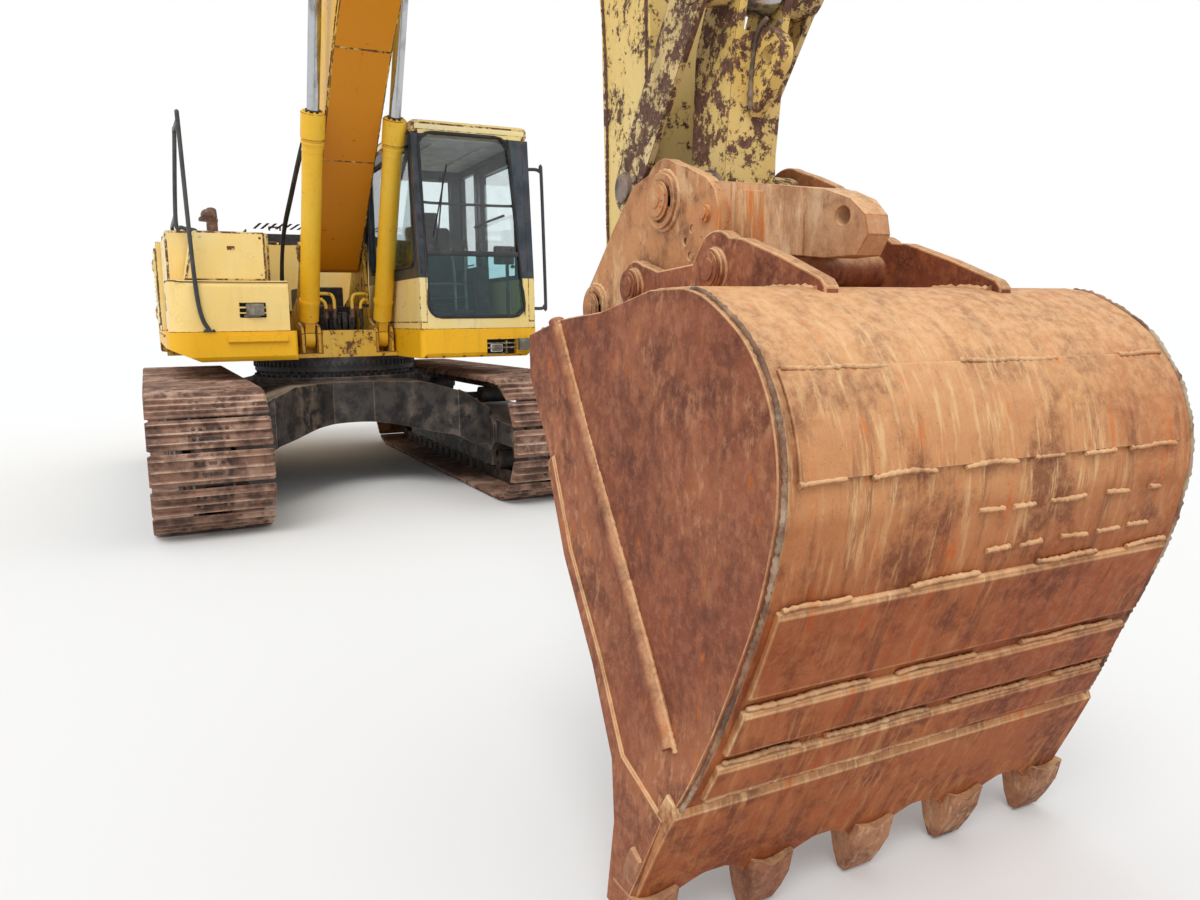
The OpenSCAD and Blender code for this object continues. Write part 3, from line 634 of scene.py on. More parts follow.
# Fuel and oil tanks: welded steel boxes with rounded corners behind the tool box, with a filler
# neck under a rusty domed cap, tread plates to walk on and gauges on the side.
for node in ("fuel_tank", "hydraulic_tank"):
    dressed(node, cream, bevel=0.02, angle=60)
cap_rust = old_steel("cap_rust", (0.07, 0.035, 0.025), (0.17, 0.085, 0.055), (0.28, 0.17, 0.12),
                     (0.09, 0.05, 0.035), 0.5)
bm = bmesh.new()
cap_x, cap_y = -0.2, -1.05
bmesh.ops.create_uvsphere(bm, u_segments=28, v_segments=14, radius=0.058,
                          matrix=Matrix.Translation((cap_x, cap_y, 2.487)))
bmesh.ops.bisect_plane(bm, geom=bm.verts[:] + bm.edges[:] + bm.faces[:], plane_co=(0, 0, 2.455),
                       plane_no=(0, 0, -1), clear_outer=True)
bar_between(bm, (cap_x, cap_y, 2.435), (cap_x, cap_y, 2.462), 0.078, 28)
for i in range(6):
    a = i * math.pi / 3
    x, y = cap_x + 0.07 * math.cos(a), cap_y + 0.07 * math.sin(a)
    bar_between(bm, (x, y, 2.44), (x, y, 2.47), 0.008, 8)
finished("filler_cap", bm, [cap_rust], "house")
tread_plate = painted_steel("tread_plate", (0.10, 0.10, 0.10), (0.16, 0.15, 0.14), 0.2, 0.5, 0.5)
bm = bmesh.new()
for x0, x1, z in ((-0.56, -0.34, 2.29), (-0.04, 0.36, 2.29), (-1.33, -0.65, 2.33)):
    block(bm, (x0, -1.36, z - 0.002), (x1, -0.68, z + 0.004), 0.001)
    across = max(2, int((x1 - x0) / 0.06))
    for i in range(across):
        for j in range(11):
            x, y = x0 + 0.03 + i * (x1 - x0 - 0.06) / (across - 1), -1.33 + j * 0.062
            made = block(bm, (-0.014, -0.004, 0.003), (0.014, 0.004, 0.0075), 0.0015)
            turned(bm, made, (x, y, z), 45 if (i + j) % 2 else -45, "Z")
finished("tread_plates", bm, [tread_plate], "house")
bm = bmesh.new()
bar_between(bm, (-1.15, -0.8, 2.328), (-1.15, -0.8, 2.38), 0.06, 24)
bar_between(bm, (-0.85, -0.78, 2.328), (-0.85, -0.78, 2.36), 0.085, 24)
for i in range(6):
    a = i * math.pi / 3
    bolt_heads(bm, [(-0.85 + 0.065 * math.cos(a), -0.78 + 0.065 * math.sin(a), 2.36)], (0, 0, 1), 0.008, 0.008)
block(bm, (-0.66, -1.449, 1.62), (-0.62, -1.438, 1.80), 0.003)
for x in (-0.56, 0.35):
    bolt_heads(bm, [(x, -1.439, z) for z in (1.5, 1.85, 2.2)], (0, -1, 0), 0.008, 0.007)
finished("tank_fittings", bm, [cream_worn], "house")

# Engine bay and side doors: sheet steel on a frame, with louvred doors on upright hinges. A
# rubber strip seals each door, drawn black as painted shade of the door's gap, and a folding
# latch holds it shut.


def frame_runs(place, a0, a1, z0, z1):
    """Four straight runs round an upright rectangle: up, across, down and back."""
    corners = [place(a0, z0), place(a0, z1), place(a1, z1), place(a1, z0)]
    return [[p, q] for p, q in zip(corners, corners[1:] + corners[:1])]


dressed("engine_bay", cream, bevel=0.005)
for node, side, x0, x1 in (("pump_door", -1, -2.362, -1.45), ("radiator_door", 1, -1.312, -0.49)):
    dressed(node, cream, bevel=0.006)
    y = side * 1.5
    bm = bmesh.new()
    middle = (x0 + x1) / 2
    for i in range(9):
        for x in (middle - 0.21, middle + 0.21):
            z = 1.74 + i * 0.052
            made = side_block(bm, side, y, 0.004, 0.012, (x - 0.17, x + 0.17), (z, z + 0.026), 0.009)
            low_lip = [v for v in made if v.co.z > z + 0.016 and abs(v.co.y) > 1.505]
            bmesh.ops.translate(bm, vec=(0, -side * 0.009, 0), verts=low_lip)
    side_block(bm, side, y, 0.002, 0.010, (x1 - 0.10, x1 - 0.04), (1.86, 1.98), 0.004)
    bar_between(bm, (x1 - 0.07, y, 1.89), (x1 - 0.07, y + side * 0.014, 1.89), 0.012, 16)
    finished(node + "_louvres", bm, [cream_yellow], node)
    # A black strip round the door: its rubber seal, and painted shade of the gap round it.
    seal = frame_runs(lambda x, z: (x, y - side * 0.012, z), x0 - 0.006, x1 + 0.006, 1.494, 2.266)
    tube_piece(node + "_seal", seal, 0.005, black_and_gap_shade, "house")

# Engine and hood: a heavy cast engine block with its covers, under a black raised steel hood that
# hinges at its front edge and breathes through slots. The exhaust's foot and clamps are rusty.
engine_grey = old_steel("engine_grey", (0.05, 0.05, 0.048), (0.11, 0.105, 0.095), (0.20, 0.18, 0.15),
                        (0.06, 0.05, 0.04), 0.5)
dressed("engine_block", [engine_grey, chain_steel], bevel=0.03)
bm = bmesh.new()
for i in range(6):
    y = -0.5 + i * 0.2
    block(bm, (-2.05, y - 0.085, 2.19), (-1.80, y + 0.085, 2.27), 0.02)
    bar_between(bm, (-1.78, y, 2.10), (-1.62, y, 2.17), 0.03, 12)
block(bm, (-1.63, -0.55, 2.02), (-1.55, 0.6, 2.12), 0.02)
finished("engine_covers", bm, [engine_grey], "house")
hood_black = painted_steel("hood_black", (0.022, 0.026, 0.032), (0.045, 0.05, 0.058), 0.12, 0.3, 0.4, 0.35,
                           bright=(0.06, 0.07, 0.08))
hood_worn = painted_steel("hood_worn", (0.06, 0.06, 0.06), (0.09, 0.09, 0.085), 0.35, 0.5, 0.5)
dressed("engine_hood", [hood_black, hood_worn], bevel=0.012)
# Black bars laid on the hood stand for its slots: painted shade of the openings.
bm = bmesh.new()
for side, y in ((-1, -0.59), (1, 0.89)):
    for i in range(14):
        x = -2.25 + i * 0.053
        side_block(bm, side, y, 0.003, 0.006, (x, x + 0.03), (2.38, 2.50), 0.003)
for j in range(5):
    for i in range(16):
        x, y = -2.2 + j * 0.13, -0.45 + i * 0.08
        block(bm, (x, y, 2.567), (x + 0.09, y + 0.03, 2.574), 0.003)
finished("hood_slot_shade", bm, [black_and_gap_shade], "engine_hood")
bm = bmesh.new()
for y in (-0.2, 0.5):
    block(bm, (-2.378, y - 0.05, 2.36), (-2.366, y + 0.05, 2.40), 0.004)
    for foot in (y - 0.06, y + 0.06):
        bar_between(bm, (-2.30, foot, 2.56), (-2.30, foot, 2.60), 0.01, 10)
    bar_between(bm, (-2.30, y - 0.07, 2.60), (-2.30, y + 0.07, 2.60), 0.01, 10)
finished("hood_handles", bm, [hood_worn], "engine_hood")
exhaust_rust = old_steel("exhaust_rust", (0.05, 0.03, 0.022), (0.16, 0.075, 0.045), (0.25, 0.14, 0.09),
                         (0.06, 0.035, 0.025), 0.6)
bm = bmesh.new()
stack_x, stack_y = -1.9, -0.9
bar_between(bm, (stack_x, stack_y, 2.325), (stack_x, stack_y, 2.35), 0.10, 28)
for z in (2.45, 2.60):
    bar_between(bm, (stack_x, stack_y, z), (stack_x, stack_y, z + 0.03), 0.064, 28)
    bolt_heads(bm, [(-1.836, stack_y, z + 0.015)], (1, 0, 0), 0.008, 0.02)
finished("exhaust_clamps", bm, [exhaust_rust], "house")

# Counterweight: one iron casting of some seven tonnes, smooth and round at the back, with screwed
# plugs in its lifting holes, two red tail lamps, and scrapes through its yellow paint.
dressed("counterweight", [deck_yellow, deck_worn], bevel=0.02, angle=50)
bm = bmesh.new()
for y in (-0.95, 0.95):
    bar_between(bm, (-3.10, y, 1.80), (-3.165, y, 1.80), 0.05, 24)
    bar_between(bm, (-2.8, y, 1.186), (-2.8, y, 1.178), 0.06, 24)
for y in (-0.35, 0.35):
    bar_between(bm, (-2.62, y, 2.345), (-2.62, y, 2.358), 0.045, 20)
finished("counterweight_plugs", bm, [deck_worn], "house")
tail_lens = Finish("tail_lens", 0.2)
tail_lens = tail_lens.close(tail_lens.lay(tail_lens.band(tail_lens.noise(30), 0.4, 0.6), (0.35, 0.02, 0.012),
                                          (0.45, 0.04, 0.02)), 0.2)
bm = bmesh.new()
for y in (-1.15, 1.15):
    block(bm, (-3.135, y - 0.07, 1.52), (-3.055, y + 0.07, 1.60), 0.008, 0)
    block(bm, (-3.142, y - 0.06, 1.53), (-3.13, y + 0.06, 1.59), 0.004, 1)
finished("tail_lamps", bm, [hood_black, tail_lens], "house")

# Rail feet: a small bolted steel plate under the front of the tall handrail, and round collars
# where the rails stand on the tool box and the tank. Black enamel, worn brown and bright.
rail_black = painted_steel("rail_black", (0.03, 0.033, 0.036), (0.055, 0.058, 0.06), 0.10, 0.25, 0.36,
                           bright=(0.09, 0.09, 0.09))
bm = bmesh.new()
foot_x, foot_y, foot_z = 0.99, -1.172, 1.432
block(bm, (foot_x - 0.018, foot_y - 0.045, foot_z - 0.002), (foot_x + 0.022, foot_y + 0.045, foot_z + 0.012),
      0.003)
bolt_heads(bm, [(foot_x + 0.004, foot_y + dy, foot_z + 0.012) for dy in (-0.032, 0.032)], (0, 0, 1), 0.008,
           0.008)
for x, y, low, high in ((0.5, -1.2, 2.25, 2.262), (-0.5, -1.343, 2.288, 2.30)):
    bar_between(bm, (x, y, low), (x, y, high), 0.034, 20)
finished("rail_feet", bm, [rail_black], "house")

# Lamps: square glass work lamps in pressed housings, one in a well under the cab behind two
# guard bars and one behind the tool box louvre. Their ribbed lenses are dusty.
lamp_shell = old_steel("lamp_shell", (0.10, 0.09, 0.07), (0.24, 0.21, 0.16), (0.36, 0.31, 0.22),
                       (0.12, 0.10, 0.07), 0.4)
lamp_lens = Finish("lamp_lens", 0.12)
lamp_lens.shader.inputs["Coat Weight"].default_value = 0.6
lamp_ribs = lamp_lens.noise(90, 2, 0.4, stretch=(1, 1, 0.02))
lamp_lens = lamp_lens.close(lamp_lens.lay(lamp_lens.band(lamp_lens.noise(14), 0.35, 0.65), (0.52, 0.55, 0.54),
                                          (0.80, 0.81, 0.78)), 0.12, lamp_ribs, 0.002)
dressed("work_lamps", [lamp_shell, frame_edge], bevel=0.003)
bm = bmesh.new()
block(bm, (1.540, 1.045, 1.225), (1.556, 1.155, 1.295), 0.006, 1)
block(bm, (0.965, -0.895, 1.552), (0.9705, -0.765, 1.568), 0.002, 1)
block(bm, (1.50, 1.015, 1.20), (1.546, 1.185, 1.214), 0.004, 0)
for z in (1.262, 1.30):
    block(bm, (1.552, 1.004, z - 0.006), (1.5595, 1.286, z + 0.006), 0.002, 2)
block(bm, (1.500, 1.19, 1.215), (1.552, 1.20, 1.32), 0.003, 2)
finished("lamp_glasses", bm, [lamp_shell, lamp_lens, cream_worn], "house")
# A black sheet at the back of the lamp well: painted shade inside the well.
bm = bmesh.new()
block(bm, (1.49, 1.008, 1.203), (1.502, 1.282, 1.337), 0.0)
finished("lamp_well_shade", bm, [black_and_gap_shade], "house")

# Cab shell: pressed and welded panels with rounded posts. Below the sill it is faded yellow, and
# the frame round the windows is painted blue-black, meeting in a straight masked line.
sill_z = 1.858


cab_nose_x, lean_from_z, lean_back = 1.56, 1.85, 0.0756


def front_x(z):
    """The cab front's outer face at a height: upright to the sill line, then leaning back."""
    return cab_nose_x if z <= lean_from_z else cab_nose_x - lean_back * (z - lean_from_z)


def cab_finish(name, low_paint, low_faded, chips):
    """Cab enamel: yellow under the sill line and under the roof, blue-black between them."""
    f = Finish(name)
    broad = f.noise(1.1, 4, 0.6)
    cloud = f.noise(6, 8, 0.66, shift=2.2)
    fine = f.noise(50, 8, 0.75, shift=5.1)
    yellow = f.lay(f.band(broad, 0.36, 0.64), low_paint, low_faded)
    dark = f.lay(f.band(cloud, 0.4, 0.65), (0.016, 0.024, 0.036), (0.042, 0.055, 0.07))
    line = f.sum(f.axis("Z"), f.sum(f.sum(cloud, -0.5), 0.004, "MULTIPLY"))
    colour = f.lay(f.band(line, sill_z - 0.0015, sill_z + 0.0015), yellow, dark)
    colour = f.lay(f.band(line, 3.0365, 3.0395), colour, yellow)
    runs = f.noise(12, 7, 0.7, stretch=(1, 1, 0.12), shift=9.0)
    colour = f.lay(f.sum(f.band(runs, 0.5, 0.78), 0.3, "MULTIPLY"), colour, (0.16, 0.13, 0.09))
    chip = f.band(f.sum(f.noise(23, 10, 0.78, shift=4.4), f.sum(cloud, 0.5, "MULTIPLY")), 0.98 - chips,
                  1.02 - chips)
    colour = f.lay(chip, colour, f.lay(f.band(fine, 0.4, 0.62), (0.06, 0.03, 0.018), (0.20, 0.09, 0.04)))
    rough = f.sum(f.sum(chip, 0.4, "MULTIPLY"), f.band(fine, 0.3, 0.7, 0.30, 0.46))
    return f.close(colour, rough, f.sum(f.sum(chip, -0.6, "MULTIPLY"), f.sum(fine, 0.15, "MULTIPLY")), 0.001)


cab_enamel = cab_finish("cab_enamel", (0.80, 0.60, 0.21), (0.78, 0.63, 0.31), 0.08)
cab_worn = cab_finish("cab_worn", (0.70, 0.52, 0.20), (0.70, 0.56, 0.29), 0.24)
roof_cream = painted_steel("roof_cream", (0.80, 0.66, 0.33), (0.82, 0.73, 0.46), 0.08, 0.3, 0.34, 0.3,
                           streak=0.2)
for node in ("cab_left", "cab_right", "cab_back", "cab_door"):
    dressed(node, [cab_enamel, cab_worn], bevel=0.007 if node != "cab_door" else 0.004)
dressed("cab_roof", [roof_cream, cream_worn], bevel=0.035, angle=60)
floor_mat = old_steel("floor_mat", (0.012, 0.012, 0.012), (0.03, 0.029, 0.027), (0.10, 0.085, 0.065),
                      (0.05, 0.04, 0.03), 0.75, 40, 0.6)
dressed("cab_floor", cream, bevel=0.006)
bm = bmesh.new()
block(bm, (-0.25, 0.50, 1.488), (1.47, 1.40, 1.498), 0.003)
for i in range(24):
    x = -0.2 + i * 0.07
    block(bm, (x, 0.52, 1.496), (x + 0.03, 1.38, 1.502), 0.002)
finished("cab_floor_mat", bm, [floor_mat], "house")
tube_piece("cab_drip_rail", [[(1.40, 0.44, 3.045), (1.44, 0.6, 3.05), (1.452, 0.95, 3.052), (1.43, 1.25, 3.05),
                              (1.30, 1.44, 3.045)]], 0.009, rail_black, "house", per=8)
bm = bmesh.new()
for z in (2.95, 2.2, 1.9):
    bolt_heads(bm, [(front_x(z), 0.47, z)], (1, 0, 0.07), 0.010, 0.008)
for y in (0.75, 1.05):
    bolt_heads(bm, [(1.42, y, 3.147)], (0.3, 0, 1), 0.011, 0.01)
bar_between(bm, (1.2, 1.25, 3.148), (1.2, 1.25, 3.19), 0.006, 10)
finished("cab_bolts", bm, [rail_black], "house")

# Cab glass: tinted toughened panes in black rubber. The front has a tall upper pane and a lower
# one of bluer glass, parted by a rail, and the side and rear panes sit in like seals.


def tinted_glass(name, tint, dusty):
    """Tinted glass: clear to look through, glossy, with dust on it."""
    f = Finish(name, 0.04)
    f.shader.inputs["IOR"].default_value = 1.45
    f.shader.inputs["Transmission Weight"].default_value = 1.0
    f.shader.inputs["Specular IOR Level"].default_value = 0.6
    cloud = f.noise(3.5, 7, 0.7)
    colour = f.lay(f.band(cloud, 0.42, 0.75), tint, dusty)
    return f.close(colour, f.band(cloud, 0.45, 0.8, 0.03, 0.12))


front_glass = tinted_glass("front_glass", (0.95, 0.97, 0.97), (0.84, 0.88, 0.88))
low_glass = tinted_glass("low_glass", (0.50, 0.84, 0.88), (0.54, 0.84, 0.86))
side_glass = tinted_glass("side_glass", (0.80, 0.90, 0.91), (0.78, 0.86, 0.86))
seal_rubber = old_steel("seal_rubber", (0.008, 0.008, 0.009), (0.016, 0.016, 0.017), (0.04, 0.04, 0.04),
                        (0.02, 0.018, 0.016), 0.55, 60, 0.2, 0.0005)
dressed("cab_glass", [side_glass], bevel=0.0)
dressed("cab_door_glass", [side_glass], bevel=0.0)


def corner_run(centre, radius, start, end, steps=6):
    """Points round one corner of a window, in front view."""
    return [(centre[0] + radius * math.cos(math.radians(start + (end - start) * i / steps)),
             centre[1] + radius * math.sin(math.radians(start + (end - start) * i / steps)))
            for i in range(steps + 1)]


screen = (corner_run((0.615, 1.64), 0.11, 180, 270) + corner_run((1.255, 1.64), 0.11, 270, 360)
          + corner_run((1.165, 2.93), 0.12, 5, 90) + corner_run((0.610, 2.93), 0.12, 90, 180))


def window_cut(low, high, inset=0.0):
    """The windscreen's outline between two heights, pulled in by inset."""
    middle = (0.93, 2.28)
    points = [(y - math.copysign(inset, y - middle[0]), z - math.copysign(inset, z - middle[1])) for y,
              z in screen]
    out = []
    for i, a in enumerate(points):
        b = points[(i + 1) % len(points)]
        if low <= a[1] <= high:
            out.append(a)
        for level in (low, high):
            if (a[1] - level) * (b[1] - level) < 0:
                t = (level - a[1]) / (b[1] - a[1])
                out.append((a[0] + (b[0] - a[0]) * t, level))
    return sorted(out, key=lambda p: math.atan2(p[1] - (low + high) / 2, p[0] - middle[0]))


def pane(name, outline, back, material):
    """A flat pane 6 mm thick, back metres behind the cab's front face."""
    bm = pulled([(front_x(z) - back, y, z) for y, z in outline], (0.006, 0, 0))
    finished(name, bm, [material], "house")


divide_z = 2.065
pane("windscreen_upper", window_cut(divide_z + 0.02, 3.1, 0.004), 0.030, front_glass)
pane("windscreen_lower", window_cut(1.4, divide_z - 0.02, 0.004), 0.030, low_glass)
ring = [(front_x(z) - 0.004, y, z) for y, z in screen + screen[:1]]
tube_piece("windscreen_seal", [ring], 0.016, seal_rubber, "house", sides=2, per=2)
right_ring = []
for c, r, a0, a1 in (((-0.13, 2.06), 0.1, 180, 270), ((1.34, 2.06), 0.1, 270, 360), ((1.29, 2.85), 0.1, 0, 90),
                     ((-0.13, 2.85), 0.1, 90, 180)):
    right_ring += [(x, 0.429, z) for x, z in corner_run(c, r, a0, a1)]
tube_piece("side_seal", [right_ring + right_ring[:1]], 0.012, seal_rubber, "house", sides=2,
           per=2)
seal = frame_runs(lambda y, z: (-0.332, y, z), 0.59, 1.305, 2.05, 2.93)
tube_piece("back_seal", seal, 0.012, seal_rubber, "house", sides=2)
bm = bmesh.new()
x = front_x(divide_z)
block(bm, (x - 0.05, 0.505, divide_z - 0.022), (x - 0.008, 1.36, divide_z + 0.022), 0.006)
block(bm, (x - 0.012, 0.52, divide_z - 0.008), (x - 0.004, 1.35, divide_z + 0.004), 0.003)
for y in (0.56, 1.31):
    block(bm, (x - 0.10, y - 0.02, divide_z + 0.02), (x - 0.05, y + 0.02, divide_z + 0.07), 0.006)
bar_between(bm, (1.535, 1.27, 1.96), (1.555, 1.27, 1.96), 0.016, 16)
finished("windscreen_rail", bm, [rail_black], "house")
bm = bmesh.new()
bar_between(bm, (1.500, 0.60, 2.09), (1.530, 0.60, 2.09), 0.022, 18)
bar_between(bm, (1.528, 0.60, 2.09), (1.468, 0.70, 2.72), 0.007, 10)
block(bm, (1.455, 0.66, 2.66), (1.475, 0.676, 2.70), 0.003)
finished("wiper_arm", bm, [rail_black], "house")
tube_piece("wiper_blade", [[(1.512, 0.58, 2.20), (1.490, 0.655, 2.50), (1.470, 0.73, 2.80)]], 0.006,
           seal_rubber, "house")
bm = bmesh.new()
for z in (2.35, 2.60, 2.0, 1.92):
    block(bm, (front_x(z) - 0.002, 0.452, z - 0.03), (front_x(z) + 0.010, 0.478, z + 0.03), 0.004)
    bar_between(bm, (front_x(z), 0.465, z), (front_x(z) + 0.016, 0.465, z), 0.009, 10)
finished("window_catches", bm, [rail_black], "house")

# Cab inside: a sprung seat in worn dark cloth with a headrest, two armrest consoles with levers,
# travel levers with pedals, a small screen, a visor bar and a pale headlining.
seat_cloth = Finish("seat_cloth", 0.85)
weave = seat_cloth.sum(seat_cloth.noise(260, 2, 0.5, stretch=(1, 0.15, 1)),
                       seat_cloth.noise(260, 2, 0.5, stretch=(0.15, 1, 1), shift=3.0), "ADD")
seat_worn = seat_cloth.noise(5, 6, 0.65)
seat_cloth.shader.inputs["Sheen Weight"].default_value = 0.3
seat_cloth = seat_cloth.close(seat_cloth.lay(seat_cloth.band(seat_worn, 0.4, 0.65), (0.020, 0.019, 0.020),
                                             (0.058, 0.052, 0.047)), 0.86, weave, 0.0012)
trim_plastic = old_steel("trim_plastic", (0.020, 0.020, 0.021), (0.042, 0.041, 0.040), (0.11, 0.10, 0.085),
                         (0.05, 0.045, 0.04), 0.55, 60, 0.4, 0.0004)
bm = bmesh.new()
block(bm, (0.28, 0.78, 1.50), (0.62, 1.09, 1.56), 0.012)
for i in range(5):
    block(bm, (0.30 + 0.004 * i, 0.80 + 0.004 * i, 1.56 + i * 0.026),
          (0.60 - 0.004 * i, 1.07 - 0.004 * i, 1.58 + i * 0.026), 0.008)
block(bm, (0.22, 0.72, 1.69), (0.70, 1.15, 1.705), 0.006)
finished("seat_suspension", bm, [trim_plastic], "house")


def cushion(name, low, high, lean=0.0, pull=0.035):
    """A foam cushion: crowned faces, sides that pull in between the corners, and a sewn edge."""
    low, high = Vector(low), Vector(high)
    bm = bmesh.new()
    bmesh.ops.create_cube(bm, size=2)
    bmesh.ops.subdivide_edges(bm, edges=bm.edges[:], cuts=5, use_grid_fill=True)
    size, centre = (high - low) / 2, (high + low) / 2
    thin = min(range(3), key=lambda k: size[k])
    wide = [k for k in range(3) if k != thin]
    for v in bm.verts:
        u, w = v.co[wide[0]], v.co[wide[1]]
        full = (1 - u ** 4) * (1 - w ** 4)
        v.co[thin] *= 0.66 + 0.34 * full ** 0.5
        for k, other in ((wide[0], w), (wide[1], u)):
            v.co[k] *= 1 - pull * (1 - other * other)
        channel = 0.05 * max(0, 1 - abs(abs(w) - 0.5) * 9)
        v.co[thin] *= 1 - channel
        v.co = Vector(v.co[k] * size[k] for k in range(3)) + centre
        v.co.x -= lean * (v.co.z - low.z)
    made = finished(name, bm, [seat_cloth], "house", 80)
    smooth = made.modifiers.new("rounded", "SUBSURF")
    smooth.levels = smooth.render_levels = 1
    return made


seat_piece = cushion("seat_cushion", (0.20, 0.70, 1.705), (0.76, 1.17, 1.86))
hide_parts("seat")
cushion("seat_back", (0.185, 0.71, 1.83), (0.275, 1.16, 2.42), 0.24)
cushion("seat_headrest", (0.05, 0.83, 2.40), (0.14, 1.04, 2.56), 0.1)
dressed("consoles", [trim_plastic, trim_plastic], bevel=0.012)
bm = bmesh.new()
for y in (0.62, 1.26):
    bar_between(bm, (0.735, y, 2.11), (0.695, y, 2.205), 0.026, 16, 0.021)
    bmesh.ops.create_uvsphere(bm, u_segments=16, v_segments=8, radius=0.027,
                              matrix=Matrix.Translation((0.694, y, 2.208)))
    for i in range(5):
        bar_between(bm, (0.728, y, 2.02 + i * 0.018), (0.732, y, 2.032 + i * 0.018), 0.045 - i * 0.005, 20)
    for i in range(4):
        bar_between(bm, (0.60 - i * 0.05, y - 0.03, 2.018), (0.60 - i * 0.05, y - 0.03, 2.03), 0.012, 12)
finished("hand_levers", bm, [trim_plastic], "house")
tube_piece("travel_levers", [[(1.21, y, 1.52), (1.20, y, 1.9), (1.16, 0.9 + (y - 0.9) * 1.5, 2.17)]
                             for y in (0.85, 0.95)], 0.011, lamp_shell, "house")
bm = bmesh.new()
for y in (0.85, 0.95):
    top = 0.9 + (y - 0.9) * 1.5
    bar_between(bm, (1.16, top, 2.10), (1.155, top, 2.20), 0.019, 14)
    block(bm, (1.14, y - 0.045, 1.50), (1.24, y + 0.045, 1.515), 0.004)
    made = block(bm, (-0.055, -0.045, -0.008), (0.055, 0.045, 0.008), 0.004)
    turned(bm, made, (1.25, y, 1.56), -28)
    for i in range(4):
        bar_between(bm, (1.24, y - 0.03, 1.53 + i * 0.012), (1.24, y + 0.03, 1.53 + i * 0.012), 0.004, 6)
finished("pedals", bm, [trim_plastic], "house")
bm = bmesh.new()
block(bm, (1.30, 1.18, 1.99), (1.36, 1.36, 2.15), 0.012)
block(bm, (1.296, 1.20, 2.02), (1.3, 1.34, 2.13), 0.003, 1)
bar_between(bm, (1.33, 1.30, 1.50), (1.33, 1.30, 2.0), 0.016, 12)
block(bm, (0.0, 0.56, 1.50), (0.20, 0.68, 2.02), 0.015)
block(bm, (-0.25, 0.52, 1.50), (0.02, 1.38, 1.98), 0.02)
finished("monitor", bm, [trim_plastic, black_and_gap_shade], "house")
headlining = old_steel("headlining", (0.50, 0.50, 0.49), (0.62, 0.62, 0.61), (0.72, 0.72, 0.70),
                       (0.42, 0.40, 0.38), 0.8, 60, 0.1, 0.0006)
bm = bmesh.new()
block(bm, (-0.26, 0.50, 3.015), (1.36, 1.395, 3.035), 0.008)
for y in (0.70, 1.15):
    block(bm, (0.2, y - 0.02, 3.0), (1.2, y + 0.02, 3.018), 0.004)
finished("headlining", bm, [headlining], "house")
tube_piece("visor_bars", [[(1.33, 0.56, 2.50), (1.30, 0.7, 2.50), (1.30, 1.2, 2.50), (1.33, 1.36, 2.50)],
                          [(1.02, 1.395, 2.45), (0.6, 1.395, 2.44), (0.2, 1.395, 2.42)]], 0.012, trim_plastic,
           "house")

# Door fittings: an outside handle in a dish, the bolts of two hinges, a kick strip, and a seal of
# black rubber round the door's window.
bm = bmesh.new()
block(bm, (1.20, 1.466, 1.86), (1.29, 1.474, 1.92), 0.004)
bar_between(bm, (1.21, 1.478, 1.89), (1.28, 1.478, 1.89), 0.009, 12)
for z in (1.66, 1.73, 2.67, 2.74):
    bolt_heads(bm, [(0.29, 1.47, z)], (0, 1, 0), 0.008, 0.008)
block(bm, (0.30, 1.468, 1.56), (1.28, 1.473, 1.70), 0.003)
finished("door_fittings", bm, [rail_black], "cab_door")
seal = frame_runs(lambda x, z: (x, 1.472, z), 0.338, 1.232, 1.898, 2.892)
tube_piece("door_seal", seal, 0.010, seal_rubber, "cab_door", sides=2)

# Boom: a welded box beam of yellow machine enamel, forked at the tip for the arm, its down-facing
# faces painted a darker ochre as painted shade. Weld beads run along its four corners and round
# the pin bosses.


def beam_frame(origin, degrees):
    """Places points given along and across a beam, in mm, with y in metres."""
    c, s = math.cos(math.radians(degrees)), math.sin(math.radians(degrees))
    return lambda x, z, y=0.0: Vector((origin[0] + (x * c - z * s) / 1000, y,
                                       origin[1] + (x * s + z * c) / 1000))


def arc_points(centre, radius, start, end, steps):
    """Points in mm along an arc, in side view."""
    return [(centre[0] + radius * math.cos(math.radians(start + (end - start) * i / steps)),
             centre[1] + radius * math.sin(math.radians(start + (end - start) * i / steps)))
            for i in range(steps + 1)]


def plate_solid(place, outline, y0, y1):
    """A plate cut to an outline in side view and standing from y0 to y1."""
    bm = pulled([place(x, z, y0) for x, z in outline], (0, y1 - y0, 0))
    bmesh.ops.recalc_face_normals(bm, faces=bm.faces)
    return bm


def bar_solid(place, centre, radius, y0, y1, sides=40):
    """A round bar across the machine."""
    bm = bmesh.new()
    bar_between(bm, place(*centre, y0), place(*centre, y1), radius / 1000, sides)
    return bm


def joined(parts, cuts=(), within=None):
    """One closed solid welded from overlapping parts, kept within another, with the cuts taken out."""
    holders = []
    work = ["UNION"] * len(parts) + ["DIFFERENCE"] * len(cuts) + ["INTERSECT"]
    for k, bm in enumerate((*parts, *cuts, *([within] if within else []))):
        bmesh.ops.recalc_face_normals(bm, faces=bm.faces)
        data = bpy.data.meshes.new("part")
        bm.to_mesh(data)
        bm.free()
        holder = bpy.data.objects.new("part", data)
        bpy.context.scene.collection.objects.link(holder)
        holders.append(holder)
        if k:
            step = holders[0].modifiers.new("step", "BOOLEAN")
            step.operation = work[k]
            step.solver = "EXACT"
            step.object = holder
    mesh = bpy.data.meshes.new_from_object(holders[0].evaluated_get(bpy.context.evaluated_depsgraph_get()))
    for holder in holders:
        old = holder.data
        bpy.data.objects.remove(holder)
        bpy.data.meshes.remove(old)
    bm = bmesh.new()
    bm.from_mesh(mesh)
    bpy.data.meshes.remove(mesh)
    return bm


def made_piece(name, bm, materials, body, replaces=(), bevel=0.004, angle=32, smooth=38):
    """A solid with its sharp edges broken, in its finish, in place of CAD nodes where it has any."""
    broken_edges(bm, materials, 0.00008, 0.6, bevel, angle, True)
    made = finished(name, bm, materials, body, smooth)
    for node in replaces:
        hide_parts(node)
    even_faces(made)
